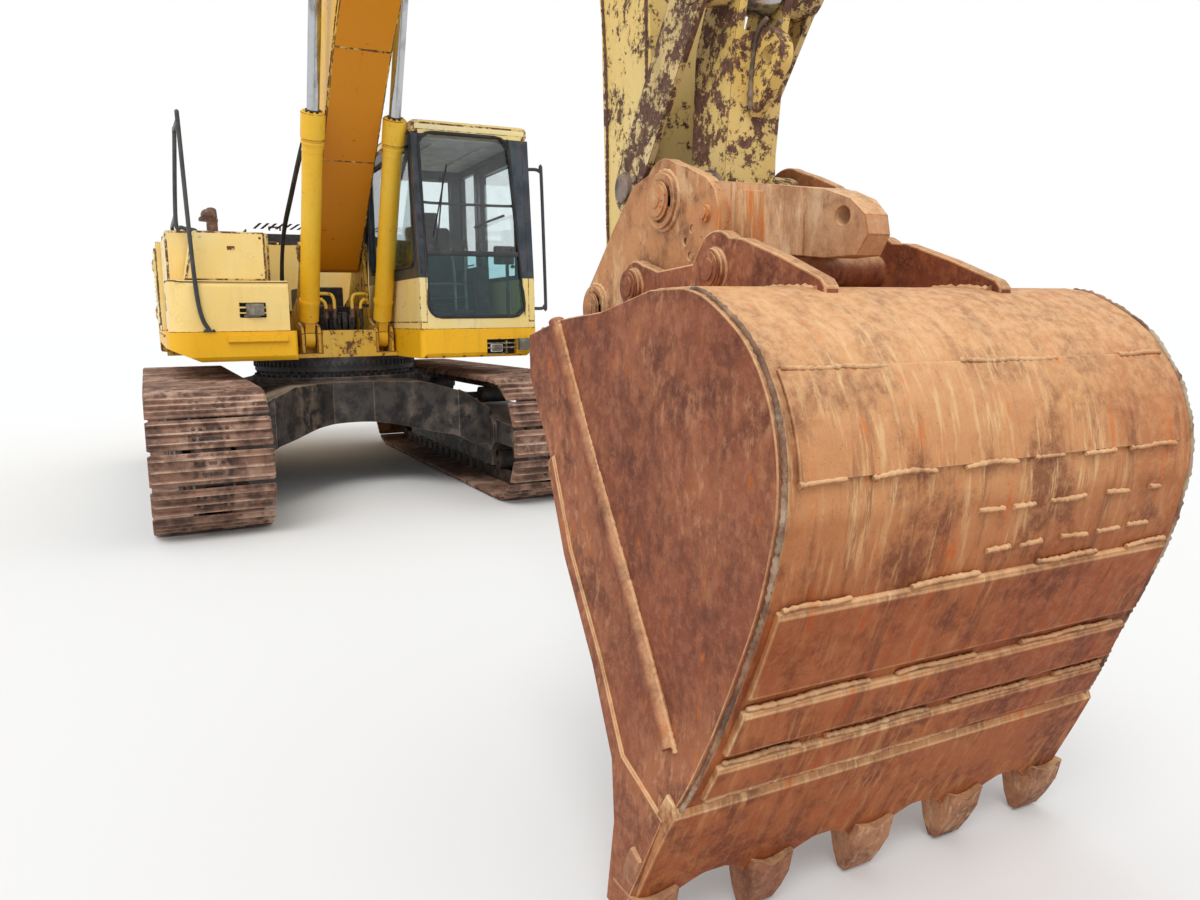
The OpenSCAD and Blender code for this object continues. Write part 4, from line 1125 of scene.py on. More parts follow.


# under=0.85 paints the boom's down-facing faces a darker, more saturated ochre: painted shade.
boom_yellow = painted_steel("boom_yellow", (0.80, 0.42, 0.012), (0.78, 0.46, 0.05), 0.10, 0.30, 0.36, 0.2,
                            streak=0.4, under=0.85)
boom_worn = painted_steel("boom_worn", (0.66, 0.42, 0.07), (0.68, 0.46, 0.13), 0.3, 0.45, 0.45)
dressed("boom", [boom_yellow, boom_worn], bevel=0.008)
boom_rise, boom_weld_y = 23.3, 0.2215
on_boom = beam_frame((0.12, 2.15), boom_rise)
beads = []
for side in (-1, 1):
    beads.append([on_boom(x, z, side * boom_weld_y) for x,
                  z in ((150, -120), (2100, 642), (2700, 780), (3300, 742), (6250, -120))])
    beads.append([on_boom(x, z, side * boom_weld_y) for x,
                  z in ((60, 195), (2400, 1578), (3000, 1618), (3600, 1448), (5590, 418), (6380, 172))])
    beads.append([on_boom(2370 + 152 * math.cos(a * 0.35), 1130 + 152 * math.sin(a * 0.35), side * 0.222)
                  for a in range(19)])
beads += [[on_boom(x, z, y) for y in (-0.215, 0.215)] for x,
          z in ((1150, 254), (2098, 618), (4650, 311), (5600, 443))]
tube_piece("boom_welds", beads, 0.007, boom_worn, "boom", 0.25, sides=2)
bm = bmesh.new()
for (x, z, r), half in (((0, 0, 92), 0.300), ((6490, 0, 88), 0.262)):
    for side in (-1, 1):
        bar_between(bm, on_boom(x, z, side * (half - 0.07)), on_boom(x, z, side * (half + 0.012)), r / 1000, 32)
        bolt_heads(bm, [on_boom(x + 58 * math.cos(a * 2.1), z + 58 * math.sin(a * 2.1), side * (half + 0.012))
                        for a in range(3)], (0, side, 0), 0.010, 0.011)
for side in (-1, 1):
    bar_between(bm, on_boom(3400, 1720, side * 0.120), on_boom(3400, 1720, side * 0.138), 0.068, 28)
finished("boom_pins", bm, [boom_worn], "boom")

# Boom pipes: two pairs of steel pipes, clamped to the boom's sides at its foot and tip and to its
# top between them, with rubber hoses to the valves below and the arm's pipes above.
pipe_y = 0.2395
pipe_yellow = painted_steel("pipe_yellow", (0.80, 0.50, 0.04), (0.78, 0.54, 0.10), 0.14, 0.4, 0.36, 0.2)
upper_run = [(1150, 850, pipe_y), (1450, 1020, pipe_y), (1540, 1094, 0.236), (1640, 1170, 0.190),
             (1760, 1242, 0.165), (2400, 1611, 0.165), (3000, 1648, 0.165), (3600, 1478, 0.165),
             (4950, 780, 0.165), (5080, 714, 0.190), (5180, 655, 0.236), (5300, 558, pipe_y),
             (5600, 385, pipe_y), (6000, 290, pipe_y)]
lower_run = [(1150, 788, pipe_y), (1560, 1015, pipe_y), (1680, 1100, pipe_y), (1760, 1180, 0.238),
             (1860, 1290, 0.205), (2400, 1611, 0.205), (3000, 1648, 0.205), (3600, 1478, 0.205),
             (4850, 832, 0.205), (4980, 766, 0.222), (5060, 706, pipe_y), (5150, 610, pipe_y),
             (5600, 323, pipe_y), (6000, 228, pipe_y)]
pipes = [[on_boom(x, z, side * y) for x, z, y in run] for side in (-1, 1) for run in (upper_run, lower_run)]
pipe_piece = tube_piece("boom_pipe_runs", pipes, 0.0155, pipe_yellow, "boom", sides=4)
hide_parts("boom_pipes")
bm = bmesh.new()
for side in (-1, 1):
    for x, z in ((1260, 911), (5650, 373)):
        made = block(bm, (-0.022, -0.006, -0.075), (0.022, 0.006, 0.045), 0.003)
        turned(bm, made, on_boom(x, z - 20, side * 0.261), -boom_rise)
        bar_between(bm, on_boom(x, z + 22, side * 0.219), on_boom(x, z + 22, side * 0.262), 0.011, 10)
        bolt_heads(bm, [on_boom(x, z + 12, side * 0.266)], (0, side, 0), 0.009, 0.009)
    for x, z, lean in ((2060, 1416, 30), (2700, 1630, 4), (3340, 1552, -16), (3950, 1298, -27),
                       (4600, 961, -27)):
        made = block(bm, (-0.024, -0.050, 0.010), (0.024, 0.050, 0.019), 0.003)
        made += block(bm, (-0.018, -0.010, -0.034), (0.018, 0.010, 0.012), 0.003)
        bolt_heads(bm, [(0, 0, 0.019)], (0, 0, 1), 0.010, 0.010)
        top = [v for v in bm.verts if v.co.length < 0.06 and v not in made]
        turned(bm, made + top, on_boom(x, z, side * 0.185), -boom_rise - lean)
finished("pipe_clamps", bm, [boom_worn], "boom")
foot_way = ((0.50, 0.35, 2.97), (0.26, 0.65, 2.66), (0.02, 0.9, 2.36), (-0.14, 1.0, 2.0), (-0.18, 1.0, 1.6),
            (-0.18, 1.0, 1.29))
foot_hoses, ends = [], bmesh.new()
for side, out in ((-1, 0.43), (1, 0.365)):
    for k in (0, 1):
        a = on_boom(1150, 850 - 62 * k, side * pipe_y)
        foot_hoses.append([a, a + Vector((-0.10, side * 0.008, -0.13))]
                          + [Vector((x - 0.04 * k, side * (pipe_y + (out - pipe_y) * t), z - 0.05 * k))
                             for x, t, z in foot_way])
        bar_between(ends, (-0.18 - 0.04 * k, side * out, 1.222), (-0.18 - 0.04 * k, side * out, 1.27), 0.026, 6)
hose_piece = tube_piece("foot_hoses", foot_hoses, 0.018, hose_rubber, None, sides=3)
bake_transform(hose_piece)
finished("foot_hose_ends", ends, [chain_steel], "house")
tip_hoses = []
for side in (-1, 1):
    for k in (0, 1):
        a = on_boom(6000, 290 - 62 * k, side * pipe_y)
        tip_hoses.append([a, a + Vector((0.16, side * 0.012, -0.02)),
                          a + Vector((0.36, side * 0.02, 0.06 - 0.05 * k)),
                          Vector((6.42 + 0.04 * k, side * 0.215, 5.02)),
                          Vector((6.40 + 0.05 * k, side * 0.190, 4.80))])
hose_piece = tube_piece("tip_hoses", tip_hoses, 0.017, hose_rubber, None, sides=3)
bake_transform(hose_piece)

# Hydraulic cylinders: enamelled barrels with a bolted head and grease grooves, hard chromed rods
# that show a few dull rings, and forged eyes on steel pins. Each barrel has a feed pipe on top.
cylinder_yellow = painted_steel("cylinder_yellow", (0.82, 0.44, 0.010), (0.82, 0.50, 0.04), 0.09, 0.26, 0.33,
                                0.15, streak=0.25)
cylinder_worn = painted_steel("cylinder_worn", (0.66, 0.42, 0.07), (0.66, 0.46, 0.12), 0.35, 0.5, 0.42)
chrome = Finish("chrome", 0.16, 0.92)
smear = chrome.noise(9, 7, 0.7, stretch=(1, 1, 0.25))
chrome = chrome.close(chrome.lay(chrome.band(smear, 0.45, 0.72), (0.50, 0.51, 0.53), (0.27, 0.25, 0.23)),
                      chrome.band(smear, 0.4, 0.75, 0.13, 0.42), chrome.noise(120, 3), 0.0001)
eye_steel = old_steel("eye_steel", (0.05, 0.04, 0.035), (0.16, 0.11, 0.08), (0.30, 0.22, 0.16),
                      (0.09, 0.06, 0.04), 0.45)
for node in ("boom_cylinder_barrels", "arm_cylinder_barrel", "bucket_cylinder_barrel"):
    dressed(node, [cylinder_yellow, cylinder_worn], bevel=0.004)
for node in ("boom_cylinder_rods", "arm_cylinder_rod", "bucket_cylinder_rod"):
    dressed(node, [chrome, eye_steel], bevel=0.003)


def line_between(start, end):
    """Places points by their distance in metres along a cylinder, across it and its y."""
    start, end = Vector((start[0], 0, start[1])), Vector((end[0], 0, end[1]))
    way = (end - start).normalized()
    over = Vector((-way.z, 0, way.x))
    return lambda d, up=0.0, y=0.0: start + way * d + over * up + Vector((0, y, 0))


barrels = (("boom_cylinder", (0.56, 1.36), (1.8498, 4.1253), 1.97, 0.082, 0.096, 0.200, (-0.325, 0.325),
            "boom_barrels"), ("arm_cylinder", (2.5624, 5.0746), (6.5214, 5.6700), 2.34, 0.095, 0.115, 0.200,
                              (0,), "arm_barrel"), ("bucket_cylinder", (6.6203, 4.3266), (6.80, 2.47), 1.66,
                                                    0.084, 0.100, 0.120, (0,), "bucket_barrel"))
for name, foot, far, length, radius, head, head_long, ys, body in barrels:
    along = line_between(foot, far)
    bm = bmesh.new()
    for y in ys:
        for d, r, w in ((length - head_long - 0.03, radius + 0.010, 0.022),
                        (length - head_long - 0.10, radius + 0.004, 0.008), (0.36, radius + 0.007, 0.030),
                        (length - 0.006, head - 0.006, 0.018)):
            bar_between(bm, along(d - w / 2, 0, y), along(d + w / 2, 0, y), r, 40)
        for i in range(10):
            a = i * math.pi / 5
            spot = along(length, (head - 0.022) * math.cos(a), y + (head - 0.022) * math.sin(a))
            bolt_heads(bm, [spot], tuple(along(1) - along(0)), 0.010, 0.014)
        for d in (0.30, length - head_long * 0.6):
            bar_between(bm, along(d, radius * 0.6, y), along(d, radius + 0.045, y), 0.022, 16)
        bar_between(bm, along(0.30, radius + 0.035, y), along(length - head_long * 0.6, radius + 0.035, y),
                    0.0125, 12)
        bar_between(bm, along(length * 0.6, radius + 0.005, y), along(length * 0.6, radius + 0.04, y), 0.009,
                    10)
    finished(name + "_fittings", bm, [cylinder_yellow], body)
    bm = bmesh.new()
    for y in ys:
        bar_between(bm, along(length - 0.002, 0, y), along(length + 0.020, 0, y), radius * 0.6 + 0.012, 32)
    finished(name + "_wiper_ring", bm, [valve_black], body)
bm = bmesh.new()
foot, far = barrels[0][1:3]
along = line_between(foot, far)
for side in (-1, 1):
    spot = along((Vector(far) - Vector(foot)).length, 0, side * 0.372)
    bar_between(bm, spot, spot + Vector((0, side * 0.022, 0)), 0.062, 32)
    bolt_heads(bm, [spot + Vector((0, side * 0.022, 0))], (0, side, 0), 0.014, 0.012)
finished("boom_rod_pins", bm, [eye_steel], "boom_rods")

# Arm: a tapering welded box, cream enamel worn to rust along its edges, black with grease at the
# pins. Cast bosses carry the link pins and the coupler's front pin.
arm_cream = painted_steel("arm_cream", (0.68, 0.46, 0.125), (0.70, 0.53, 0.22), 0.20, 0.55, 0.38, 0.25,
                          rust=(0.16, 0.075, 0.045), streak=0.45)
arm_worn = painted_steel("arm_worn", (0.50, 0.33, 0.12), (0.52, 0.38, 0.18), 0.45, 0.7, 0.45,
                         rust=(0.15, 0.075, 0.05))
tip, nose, link_foot, link_top = (6.0807, 4.7171), (6.2585, 1.5371), (6.3870, 1.9258), (6.80, 2.47)
coupler_pin, pin_front, pin_back = (6.715, 1.846), (7.060, 1.630), (6.620, 1.600)
on_arm = beam_frame(tip, -86.8)
arm_edge = ([(900, -205)] + arc_points((0, 0), 190, 280, 190, 10) + arc_points((-927, 493), 140, 225, 30, 14)
            + [(-300, 560), (200, 560), (460, 400), (2200, 262), (2640, 250)]
            + arc_points((2804, 150), 92, 80, 20, 5) + arc_points((3185, 0), 112, 50, -90, 14)
            + [(2900, -95), (2200, -75)])
parts = [plate_solid(on_arm, arm_edge, -0.150, 0.150), bar_solid(on_arm, (3185, 0), 118, -0.172, 0.172, 56),
         bar_solid(on_arm, (2804, 150), 78, -0.174, 0.174, 48)]
for side in (-1, 1):
    lug = [(200, 350), (540, 350)] + arc_points((420, 517), 120, 20, 160, 10)
    parts.append(plate_solid(on_arm, lug, side * 0.100 - 0.025, side * 0.100 + 0.025))
cuts = [bar_solid(on_arm, (-927, 493), 420, -0.075, 0.075, 64),
        bar_solid(on_arm, (420, 517), 190, -0.075, 0.075, 56)]
made_piece("arm_beam", joined(parts, cuts), [arm_cream, arm_worn], "arm", ("arm",), 0.007)
bm = bmesh.new()
for x, z, r, half in ((0, 0, 60, 0.272), (2804, 150, 45, 0.215), (420, 517, 55, 0.135), (3185, 0, 46, 0.170)):
    bar_between(bm, on_arm(x, z, -half), on_arm(x, z, half), r / 1000, 32)
finished("arm_pins", bm, [eye_steel], "arm")
beads, arm_weld_y = [], 0.1515
for side in (-1, 1):
    beads.append([on_arm(x, z, side * arm_weld_y) for x,
                  z in ((760, -168), (2200, -55), (2900, -76), (3080, -60))])
    beads.append([on_arm(x, z, side * arm_weld_y) for x,
                  z in ((-280, 540), (200, 540), (460, 382), (2200, 244), (2640, 232))])
    beads.append([on_arm(3185 + 120 * math.cos(a * 0.3), 120 * math.sin(a * 0.3), side * arm_weld_y)
                  for a in range(5, 17)])
    beads.append([on_arm(2804 + 80 * math.cos(a * 0.35), 150 + 80 * math.sin(a * 0.35), side * arm_weld_y)
                  for a in range(19)])
beads.append([on_arm(1500, 320, y) for y in (-0.145, 0.145)])
tube_piece("arm_welds", beads, 0.0065, arm_worn, "arm", 0.25, sides=2)
arm_run = ((250, 610), (330, 610), (640, 412), (1500, 345), (1620, 330))
pipes = [[on_arm(x, z + 8, side * 0.105) for x, z in arm_run] for side in (-1, 1)]
tube_piece("arm_pipes", pipes, 0.0145, pipe_yellow, "arm", sides=3)

# Side links: two flat flame-cut straps from the arm to the head of the bucket cylinder, cream
# enamel rubbed through to rust, each welded to a thick boss.
link_paint = painted_steel("link_paint", (0.54, 0.37, 0.13), (0.62, 0.47, 0.23), 0.25, 0.8, 0.4, 0.3,
                           rust=(0.15, 0.07, 0.045), streak=0.6)
here = beam_frame((0, 0), 0)
mm = lambda p: (p[0] * 1000, p[1] * 1000)


def strap_outline(p, q, r0, r1, steps=12):
    """The outline of a straight link with round ends."""
    a = math.degrees(math.atan2(q[1] - p[1], q[0] - p[0]))
    return arc_points(mm(p), r0, a + 90, a + 270, steps) + arc_points(mm(q), r1, a - 90, a + 90, steps)


for side, word in ((-1, "right"), (1, "left")):
    low, high = sorted((side * 0.176, side * 0.197))
    boss_low, boss_high = sorted((side * 0.096, side * 0.201))
    parts = [plate_solid(here, strap_outline(link_foot, link_top, 80, 84), low, high),
             bar_solid(here, mm(link_top), 93, boss_low, boss_high, 48),
             bar_solid(here, mm(link_foot), 72, *sorted((side * 0.177, side * 0.201)), 48)]
    made_piece("side_link_" + word, joined(parts), [link_paint, arm_worn], "side_links",
               ("side_links",) if side < 0 else (), 0.004)
bm = bmesh.new()
bar_between(bm, (link_top[0], -0.200, link_top[1]), (link_top[0], 0.200, link_top[1]), 0.050, 36)
for side in (-1, 1):
    for p in (link_top, link_foot):
        spot = Vector((p[0], side * 0.199, p[1]))
        bar_between(bm, spot, spot + Vector((0, side * 0.004, 0)), 0.052, 32)
        bar_between(bm, spot, spot + Vector((0, side * 0.006, 0)), 0.016, 6)
        bar_between(bm, spot + Vector((0.062, 0, 0.02)), spot + Vector((0.062, side * 0.006, 0.02)), 0.011, 6)
finished("link_pins", bm, [eye_steel], "side_links")

# H-link: a heavy welded link with a forked head round the cylinder's eye, flaking yellow enamel
# over dark rust, and a lifting eye on its front face.
flaked_yellow = painted_steel("flaked_yellow", (0.66, 0.44, 0.12), (0.70, 0.52, 0.22), 0.265, 0.7, 0.42, 0.25,
                              rust=(0.19, 0.085, 0.055), streak=0.5)
web = ([(6682, 1935), (6797, 1935), (6845, 2290)] + arc_points(mm(link_top), 88, -20, 190, 18)
       + [(6640, 2290), (6618, 1990)])
lug = [(6838, 2330), (6886, 2325)] + arc_points((6905, 2232), 62, 60, -60, 8) + [(6880, 2120), (6827, 2080)]
parts = [plate_solid(here, web, -0.090, 0.090),
         plate_solid(here, strap_outline(coupler_pin, (6.719, 2.0), 85, 85), -0.090, 0.090),
         bar_solid(here, mm(coupler_pin), 89, -0.200, 0.200, 48), plate_solid(here, lug, -0.022, 0.022)]
cuts = [bar_solid(here, (6905, 2232), 25, -0.060, 0.060, 24),
        plate_solid(here, [(6600, 2310), (6925, 2310), (6925, 2700), (6600, 2700)], -0.063, 0.063)]
made_piece("h_link_body", joined(parts, cuts), [flaked_yellow, arm_worn], "h_link", ("h_link",),
           0.007)
beads = [[(6.905, side * 0.024, 2.33), (6.862, side * 0.026, 2.30), (6.838, side * 0.026, 2.20),
          (6.832, side * 0.024, 2.10)] for side in (-1, 1)]
beads += [[(coupler_pin[0] + 0.089 * math.cos(a * 0.3), side * 0.094,
            coupler_pin[1] + 0.089 * math.sin(a * 0.3)) for a in range(22)] for side in (-1, 1)]
beads.append([(6.700, 0.0, 2.31), (6.80, 0.0, 2.31)])
tube_piece("h_link_welds", beads, 0.008, weld_steel, "h_link", 0.3, sides=2)

# Quick coupler: two thick flame-cut cheeks tied by a cast tongue with a lifting eye and a cross
# box, hooked on the bucket's pins. Orange-brown rust, with flecks of old yellow and red enamel.


def rusty_plate(name, dark, mid, light, hot, pale, run=(0.3, 1.0, 0.12), speck=0.0, smear=0.0, painted_top_light=0.55,
                shade=0.0):
    """Plate steel rusted in the weather: mottled brown, streaked down its face, with orange runs."""
    f = Finish(name)
    f.shader.inputs["Specular IOR Level"].default_value = 0.22
    broad = f.noise(1.6, 5, 0.62)
    cloud = f.noise(5.2, 9, 0.68, shift=3.1)
    fine = f.noise(34, 9, 0.75, shift=6.3)
    grit = f.noise(170, 6, 0.75, shift=2.7)
    runs = f.noise(15, 9, 0.72, stretch=run, shift=8.1)
    thin = f.noise(44, 6, 0.7, stretch=run, shift=4.9)
    colour = f.lay(f.band(broad, 0.38, 0.62), mid, light)
    colour = f.lay(f.band(cloud, 0.46, 0.64, 0, 0.8), colour, dark)
    colour = f.lay(f.band(fine, 0.46, 0.62, 0, 0.55), colour, light)
    colour = f.lay(f.band(runs, 0.50, 0.66, 0, 0.62), colour, dark)
    colour = f.lay(f.sum(f.band(thin, 0.50, 0.66), f.band(broad, 0.40, 0.60), "MULTIPLY"), colour, pale)
    colour = f.lay(f.sum(f.band(f.noise(21, 8, 0.7, stretch=run, shift=1.9), 0.56, 0.66),
                         f.band(cloud, 0.40, 0.56, 0.9, 0.1), "MULTIPLY"), colour, hot)
    colour = f.lay(f.band(grit, 0.56, 0.72, 0, 0.5), colour, pale)
    colour = f.lay(f.band(grit, 0.30, 0.42, 0.6, 0.0), colour, tuple(c * 0.35 for c in dark))
    if speck:
        flake = f.band(f.sum(f.noise(30, 8, 0.75, shift=5.5), f.sum(cloud, 0.4, "MULTIPLY")), 0.86 - speck,
                       0.89 - speck)
        colour = f.lay(flake, colour, (0.52, 0.36, 0.13))
        flake = f.band(f.sum(f.noise(26, 8, 0.75, shift=9.5), f.sum(broad, 0.4, "MULTIPLY")),
                       0.87 - speck * 0.6, 0.90 - speck * 0.6)
        colour = f.lay(flake, colour, (0.30, 0.035, 0.02))
    if smear:
        patch = f.band(f.noise(2.3, 7, 0.7, stretch=(1, 0.8, 1.4), shift=7.4), 0.60 - smear, 0.72 - smear, 0,
                       0.6)
        colour = f.lay(f.sum(patch, f.band(fine, 0.38, 0.6), "MULTIPLY"), colour, (0.62, 0.37, 0.12))
    # Painted light: faces turned to the sky are painted a lighter orange. Painted shade: faces turned to the
    # ground are painted darker.
    lean = f.axis("Z", "Normal")
    colour = f.lay(f.sum(f.band(lean, 0.05, 0.85, 0, painted_top_light), f.band(fine, 0.35, 0.6, 0.45, 1.0), "MULTIPLY"),
                   colour, (0.80, 0.50, 0.26))
    colour = f.lay(f.band(lean, 0.0, -0.42, 0, shade), colour, (0.66, 0.42, 0.30), "MULTIPLY")
    rough = f.band(fine, 0.3, 0.7, 0.78, 0.52)
    return f.close(colour, rough, f.sum(f.sum(grit, 0.35, "MULTIPLY"),
                                        f.sum(f.sum(fine, 0.7, "MULTIPLY"), cloud)), 0.0022)


def plan_solid(outline, z0, z1):
    """A plate cut to an outline in plan, in mm, standing from z0 to z1."""
    return pulled([(x / 1000, y / 1000, z0 / 1000) for x, y in outline], (0, 0, (z1 - z0) / 1000))


coupler_rust = rusty_plate("coupler_rust", (0.13, 0.048, 0.026), (0.34, 0.135, 0.058), (0.50, 0.235, 0.10),
                           (0.55, 0.15, 0.025), (0.60, 0.37, 0.19), speck=0.02)
coupler_edge = rusty_plate("coupler_edge", (0.22, 0.09, 0.045), (0.46, 0.22, 0.105), (0.58, 0.34, 0.18),
                           (0.55, 0.20, 0.05), (0.62, 0.42, 0.25))
nose_mm, pin_mm = mm(nose), mm(coupler_pin)
cheek = (arc_points(nose_mm, 112, 290, 160, 14) + [(6290, 1705), (6372, 1785), (6520, 1912)]
         + arc_points((6700, 1850), 118, 135, 60, 10) + [(6838, 1925), (6935, 1884), (6975, 1850), (7000, 1790),
                                                         (6990, 1640), (6800, 1530), (6560, 1486),
                                                         (6535, 1425)])
holes = [(6862, 1754), (6829, 1720), (6851, 1678)]
for side, word in ((-1, "right"), (1, "left")):
    low, high = sorted((side * 0.207, side * 0.243))
    parts = [plate_solid(here, cheek, low, high)]
    for p in (nose_mm, pin_mm):
        parts.append(bar_solid(here, p, 80, *sorted((side * 0.210, side * 0.262)), 48))
    cuts = [bar_solid(here, p, 12, low - 0.02, high + 0.02, 20) for p in holes]
    made_piece("coupler_cheek_" + word, joined(parts, cuts), [coupler_rust, coupler_edge], "bucket",
               ("quick_coupler",) if side < 0 else (), 0.005)
tongue_side = [(6824, 1896), (6844, 1890), (7051, 1857), (7198, 1829), (7283, 1796), (7332, 1753), (7344, 1703),
               (7308, 1654), (7204, 1654), (6997, 1681), (6900, 1666), (6824, 1622)]
tongue_plan = [(6824, -238), (6935, -236), (7000, -205), (7060, -120), (7130, -62), (7354, -35), (7354, 35),
               (7130, 62), (7060, 120), (7000, 205), (6935, 236), (6824, 238)]
eye_hole = bar_solid(here, (7260, 1755), 24, -0.1, 0.1, 28)
link_room = plate_solid(here, [(6700, 1500), (7010, 1500), (7010, 2100), (6700, 2100)], -0.114, 0.114)
tongue = joined([plan_solid(tongue_plan, 1450, 2050)], [eye_hole, link_room],
                plate_solid(here, tongue_side, -0.30, 0.30))
made_piece("coupler_tongue", tongue, [coupler_edge, coupler_rust], "bucket", (), 0.010, 28)
bm = bmesh.new()
block(bm, (6.690, -0.209, 1.560), (6.980, 0.209, 1.680), 0.008)
block(bm, (7.02, -0.209, 1.70), (7.05, 0.209, 1.84), 0.006)
finished("coupler_cross_box", bm, [coupler_rust], "bucket")
bm = bmesh.new()
for p, r in ((nose, 0.050), (coupler_pin, 0.046)):
    bar_between(bm, (p[0], -0.275, p[1]), (p[0], 0.275, p[1]), r, 40)
    for side in (-1, 1):
        for w, rr in ((0.262, 0.064), (0.270, 0.056)):
            bar_between(bm, (p[0], side * (w - 0.004), p[1]), (p[0], side * w, p[1]), rr, 40)
        bar_between(bm, (p[0], side * 0.275, p[1]), (p[0], side * 0.279, p[1]), r * 0.45, 24)
for side in (-1, 1):
    bar_between(bm, (6.938, side * 0.23, 1.787), (6.938, side * 0.254, 1.787), 0.024, 24)
    bar_between(bm, (6.938, side * 0.254, 1.787), (6.938, side * 0.258, 1.787), 0.015, 20)
finished("coupler_pins", bm, [coupler_rust], "bucket")
beads = []
for side in (-1, 1):
    for p, r in ((nose_mm, 84), (pin_mm, 84)):
        beads.append([here(p[0] + r * math.cos(a * 0.27), p[1] + r * math.sin(a * 0.27), side * 0.2455)
                      for a in range(25)])
tube_piece("coupler_welds", beads, 0.007, coupler_edge, "bucket", 0.28, sides=2)

# Bucket: a rolled back and floor plate between two side plates, with wear straps across the back
# and ears on top for the coupler. The sides are dark red rust, the back orange-tan and streaked.
# All its plates are painted lighter where they face up, as painted light, and the back and its
# edges are painted darker where they face down, as painted shade.
bucket_side = rusty_plate("bucket_side", (0.095, 0.026, 0.015), (0.205, 0.058, 0.028), (0.33, 0.115, 0.052),
                          (0.40, 0.105, 0.020), (0.44, 0.20, 0.10), run=(1.0, 1.0, 0.5))
bucket_back = rusty_plate("bucket_back", (0.16, 0.048, 0.022), (0.40, 0.150, 0.055), (0.52, 0.235, 0.095),
                          (0.58, 0.125, 0.012), (0.62, 0.38, 0.18), smear=0.03, shade=1.0)
bucket_edge = rusty_plate("bucket_edge", (0.24, 0.10, 0.045), (0.46, 0.22, 0.10), (0.58, 0.34, 0.17),
                          (0.55, 0.18, 0.04), (0.66, 0.45, 0.25), shade=0.8)
outer = [(6560, 1460), (6784, 1508), (7031, 1525), (7285, 1572), (7420, 1572), (7500, 1555), (7603, 1500),
         (7673, 1442), (7735, 1350), (7768, 1250), (7775, 1153), (7766, 1085), (7734, 950), (7675, 800),
         (7608, 650), (7545, 510), (7500, 430)]


def flare(z):
    """How much wider than its top the bucket is at a height: it spreads towards the lip."""
    for (z0, w0), (z1, w1) in zip(((0.10, 1.185), (0.30, 1.137), (0.65, 1.056), (1.10, 1.020)),
                                  ((0.30, 1.137), (0.65, 1.056), (1.10, 1.020), (1.40, 1.0))):
        if z <= z1:
            return w0 + (w1 - w0) * (max(z, z0) - z0) / (z1 - z0)
    return 1.0


def flared(bm):
    """The same solid spread sideways as the bucket is."""
    for v in bm.verts:
        v.co.y *= flare(v.co.z)
    return bm


def curved(points, steps=3):
    """Points along a smooth line through the ones given."""
    out = []
    for i in range(len(points) - 1):
        a, p, q, b = (Vector(points[max(0, min(len(points) - 1, k))]) for k in (i - 1, i, i + 1, i + 2))
        out += [tuple(between(a, p, q, b, k / steps)) for k in range(steps)]
    return out + [points[-1]]


rolled = outer[:4] + curved(outer[4:], 3)


def offset_line(points, depth):
    """The line moved inwards by depth, in mm, square to itself."""
    out = []
    for i, p in enumerate(points):
        a, b = Vector(points[max(i - 1, 0)]), Vector(points[min(i + 1, len(points) - 1)])
        way = (b - a).normalized()
        out.append((p[0] + way.y * depth, p[1] - way.x * depth))
    return out


skin = rolled[1:] + offset_line(rolled[1:], 38)[::-1]
back_steel, side_steel = [bucket_back, bucket_edge], [bucket_side, bucket_edge]
made_piece("bucket_wrap", flared(plate_solid(here, skin, -0.600, 0.600)), back_steel, "bucket",
           ("bucket",), 0.004, 40, 50)
side_edge = [(6560, 1460)] + offset_line(rolled, 4)[1:] + [(7345, 110), (7282, 118), (7272, 300), (7225, 440),
                                                           (7069, 624), (6867, 863), (6732, 1105), (6564, 1340)]
cutter_edge = [(7470, 400), (7350, 106), (7276, 114), (7264, 300), (7217, 434), (7060, 618), (6858, 858),
               (6724, 1100), (6758, 1122), (6893, 882), (7092, 645), (7262, 460), (7330, 440)]
for side, word in ((-1, "right"), (1, "left")):
    parts = [plate_solid(here, side_edge, *sorted((side * 0.592, side * 0.620))),
             plate_solid(here, cutter_edge, *sorted((side * 0.586, side * 0.628)))]
    made_piece("bucket_side_" + word, flared(joined(parts)), side_steel, "bucket", (), 0.005, 34)
rib_line = ((6762, 1500), (6907, 1281), (7130, 978), (7295, 764), (7458, 560))
bm = bmesh.new()
for side in (-1, 1):
    rib = [here(x, z, side * 0.620 * flare(z / 1000)) for x, z in rib_line]
    for p, q in zip(rib, rib[1:]):
        bar_between(bm, p, q, 0.022, 18)
finished("bucket_side_ribs", bm, [bucket_side], "bucket")
for k, (p, q) in enumerate((((7730, 944), (7646, 738)), ((7634, 706), (7584, 592)),
                            ((7568, 560), (7522, 468)))):
    frame_at = beam_frame((p[0] / 1000, p[1] / 1000), math.degrees(math.atan2(q[1] - p[1], q[0] - p[0])))
    length = math.dist(p, q)
    strap = [(0, -6), (0, 10), (10, 17), (length - 10, 17), (length, 10), (length, -6)]
    made_piece("wear_strap_" + str(k + 1), flared(plate_solid(frame_at, strap, -0.578, 0.578)), back_steel,
               "bucket", (), 0.004, 20)
band = [p for p in rolled if 1202 <= p[1] <= 1400 and p[0] > 7600]
band = [(7702, 1406)] + band + [(7776, 1200)]
overlay = plate_solid(here, offset_line(band, -8) + offset_line(band, 6)[::-1], -0.585, 0.560)
made_piece("back_overlay", overlay, back_steel, "bucket", (), 0.003, 40, 50)


def back_at(z):
    """Where the bucket's back lies at a height, in mm."""
    for (x0, z0), (x1, z1) in zip(rolled[6:], rolled[7:]):
        if z1 <= z <= z0:
            return x0 + (x1 - x0) * (z0 - z) / (z0 - z1)
    return rolled[-1][0]


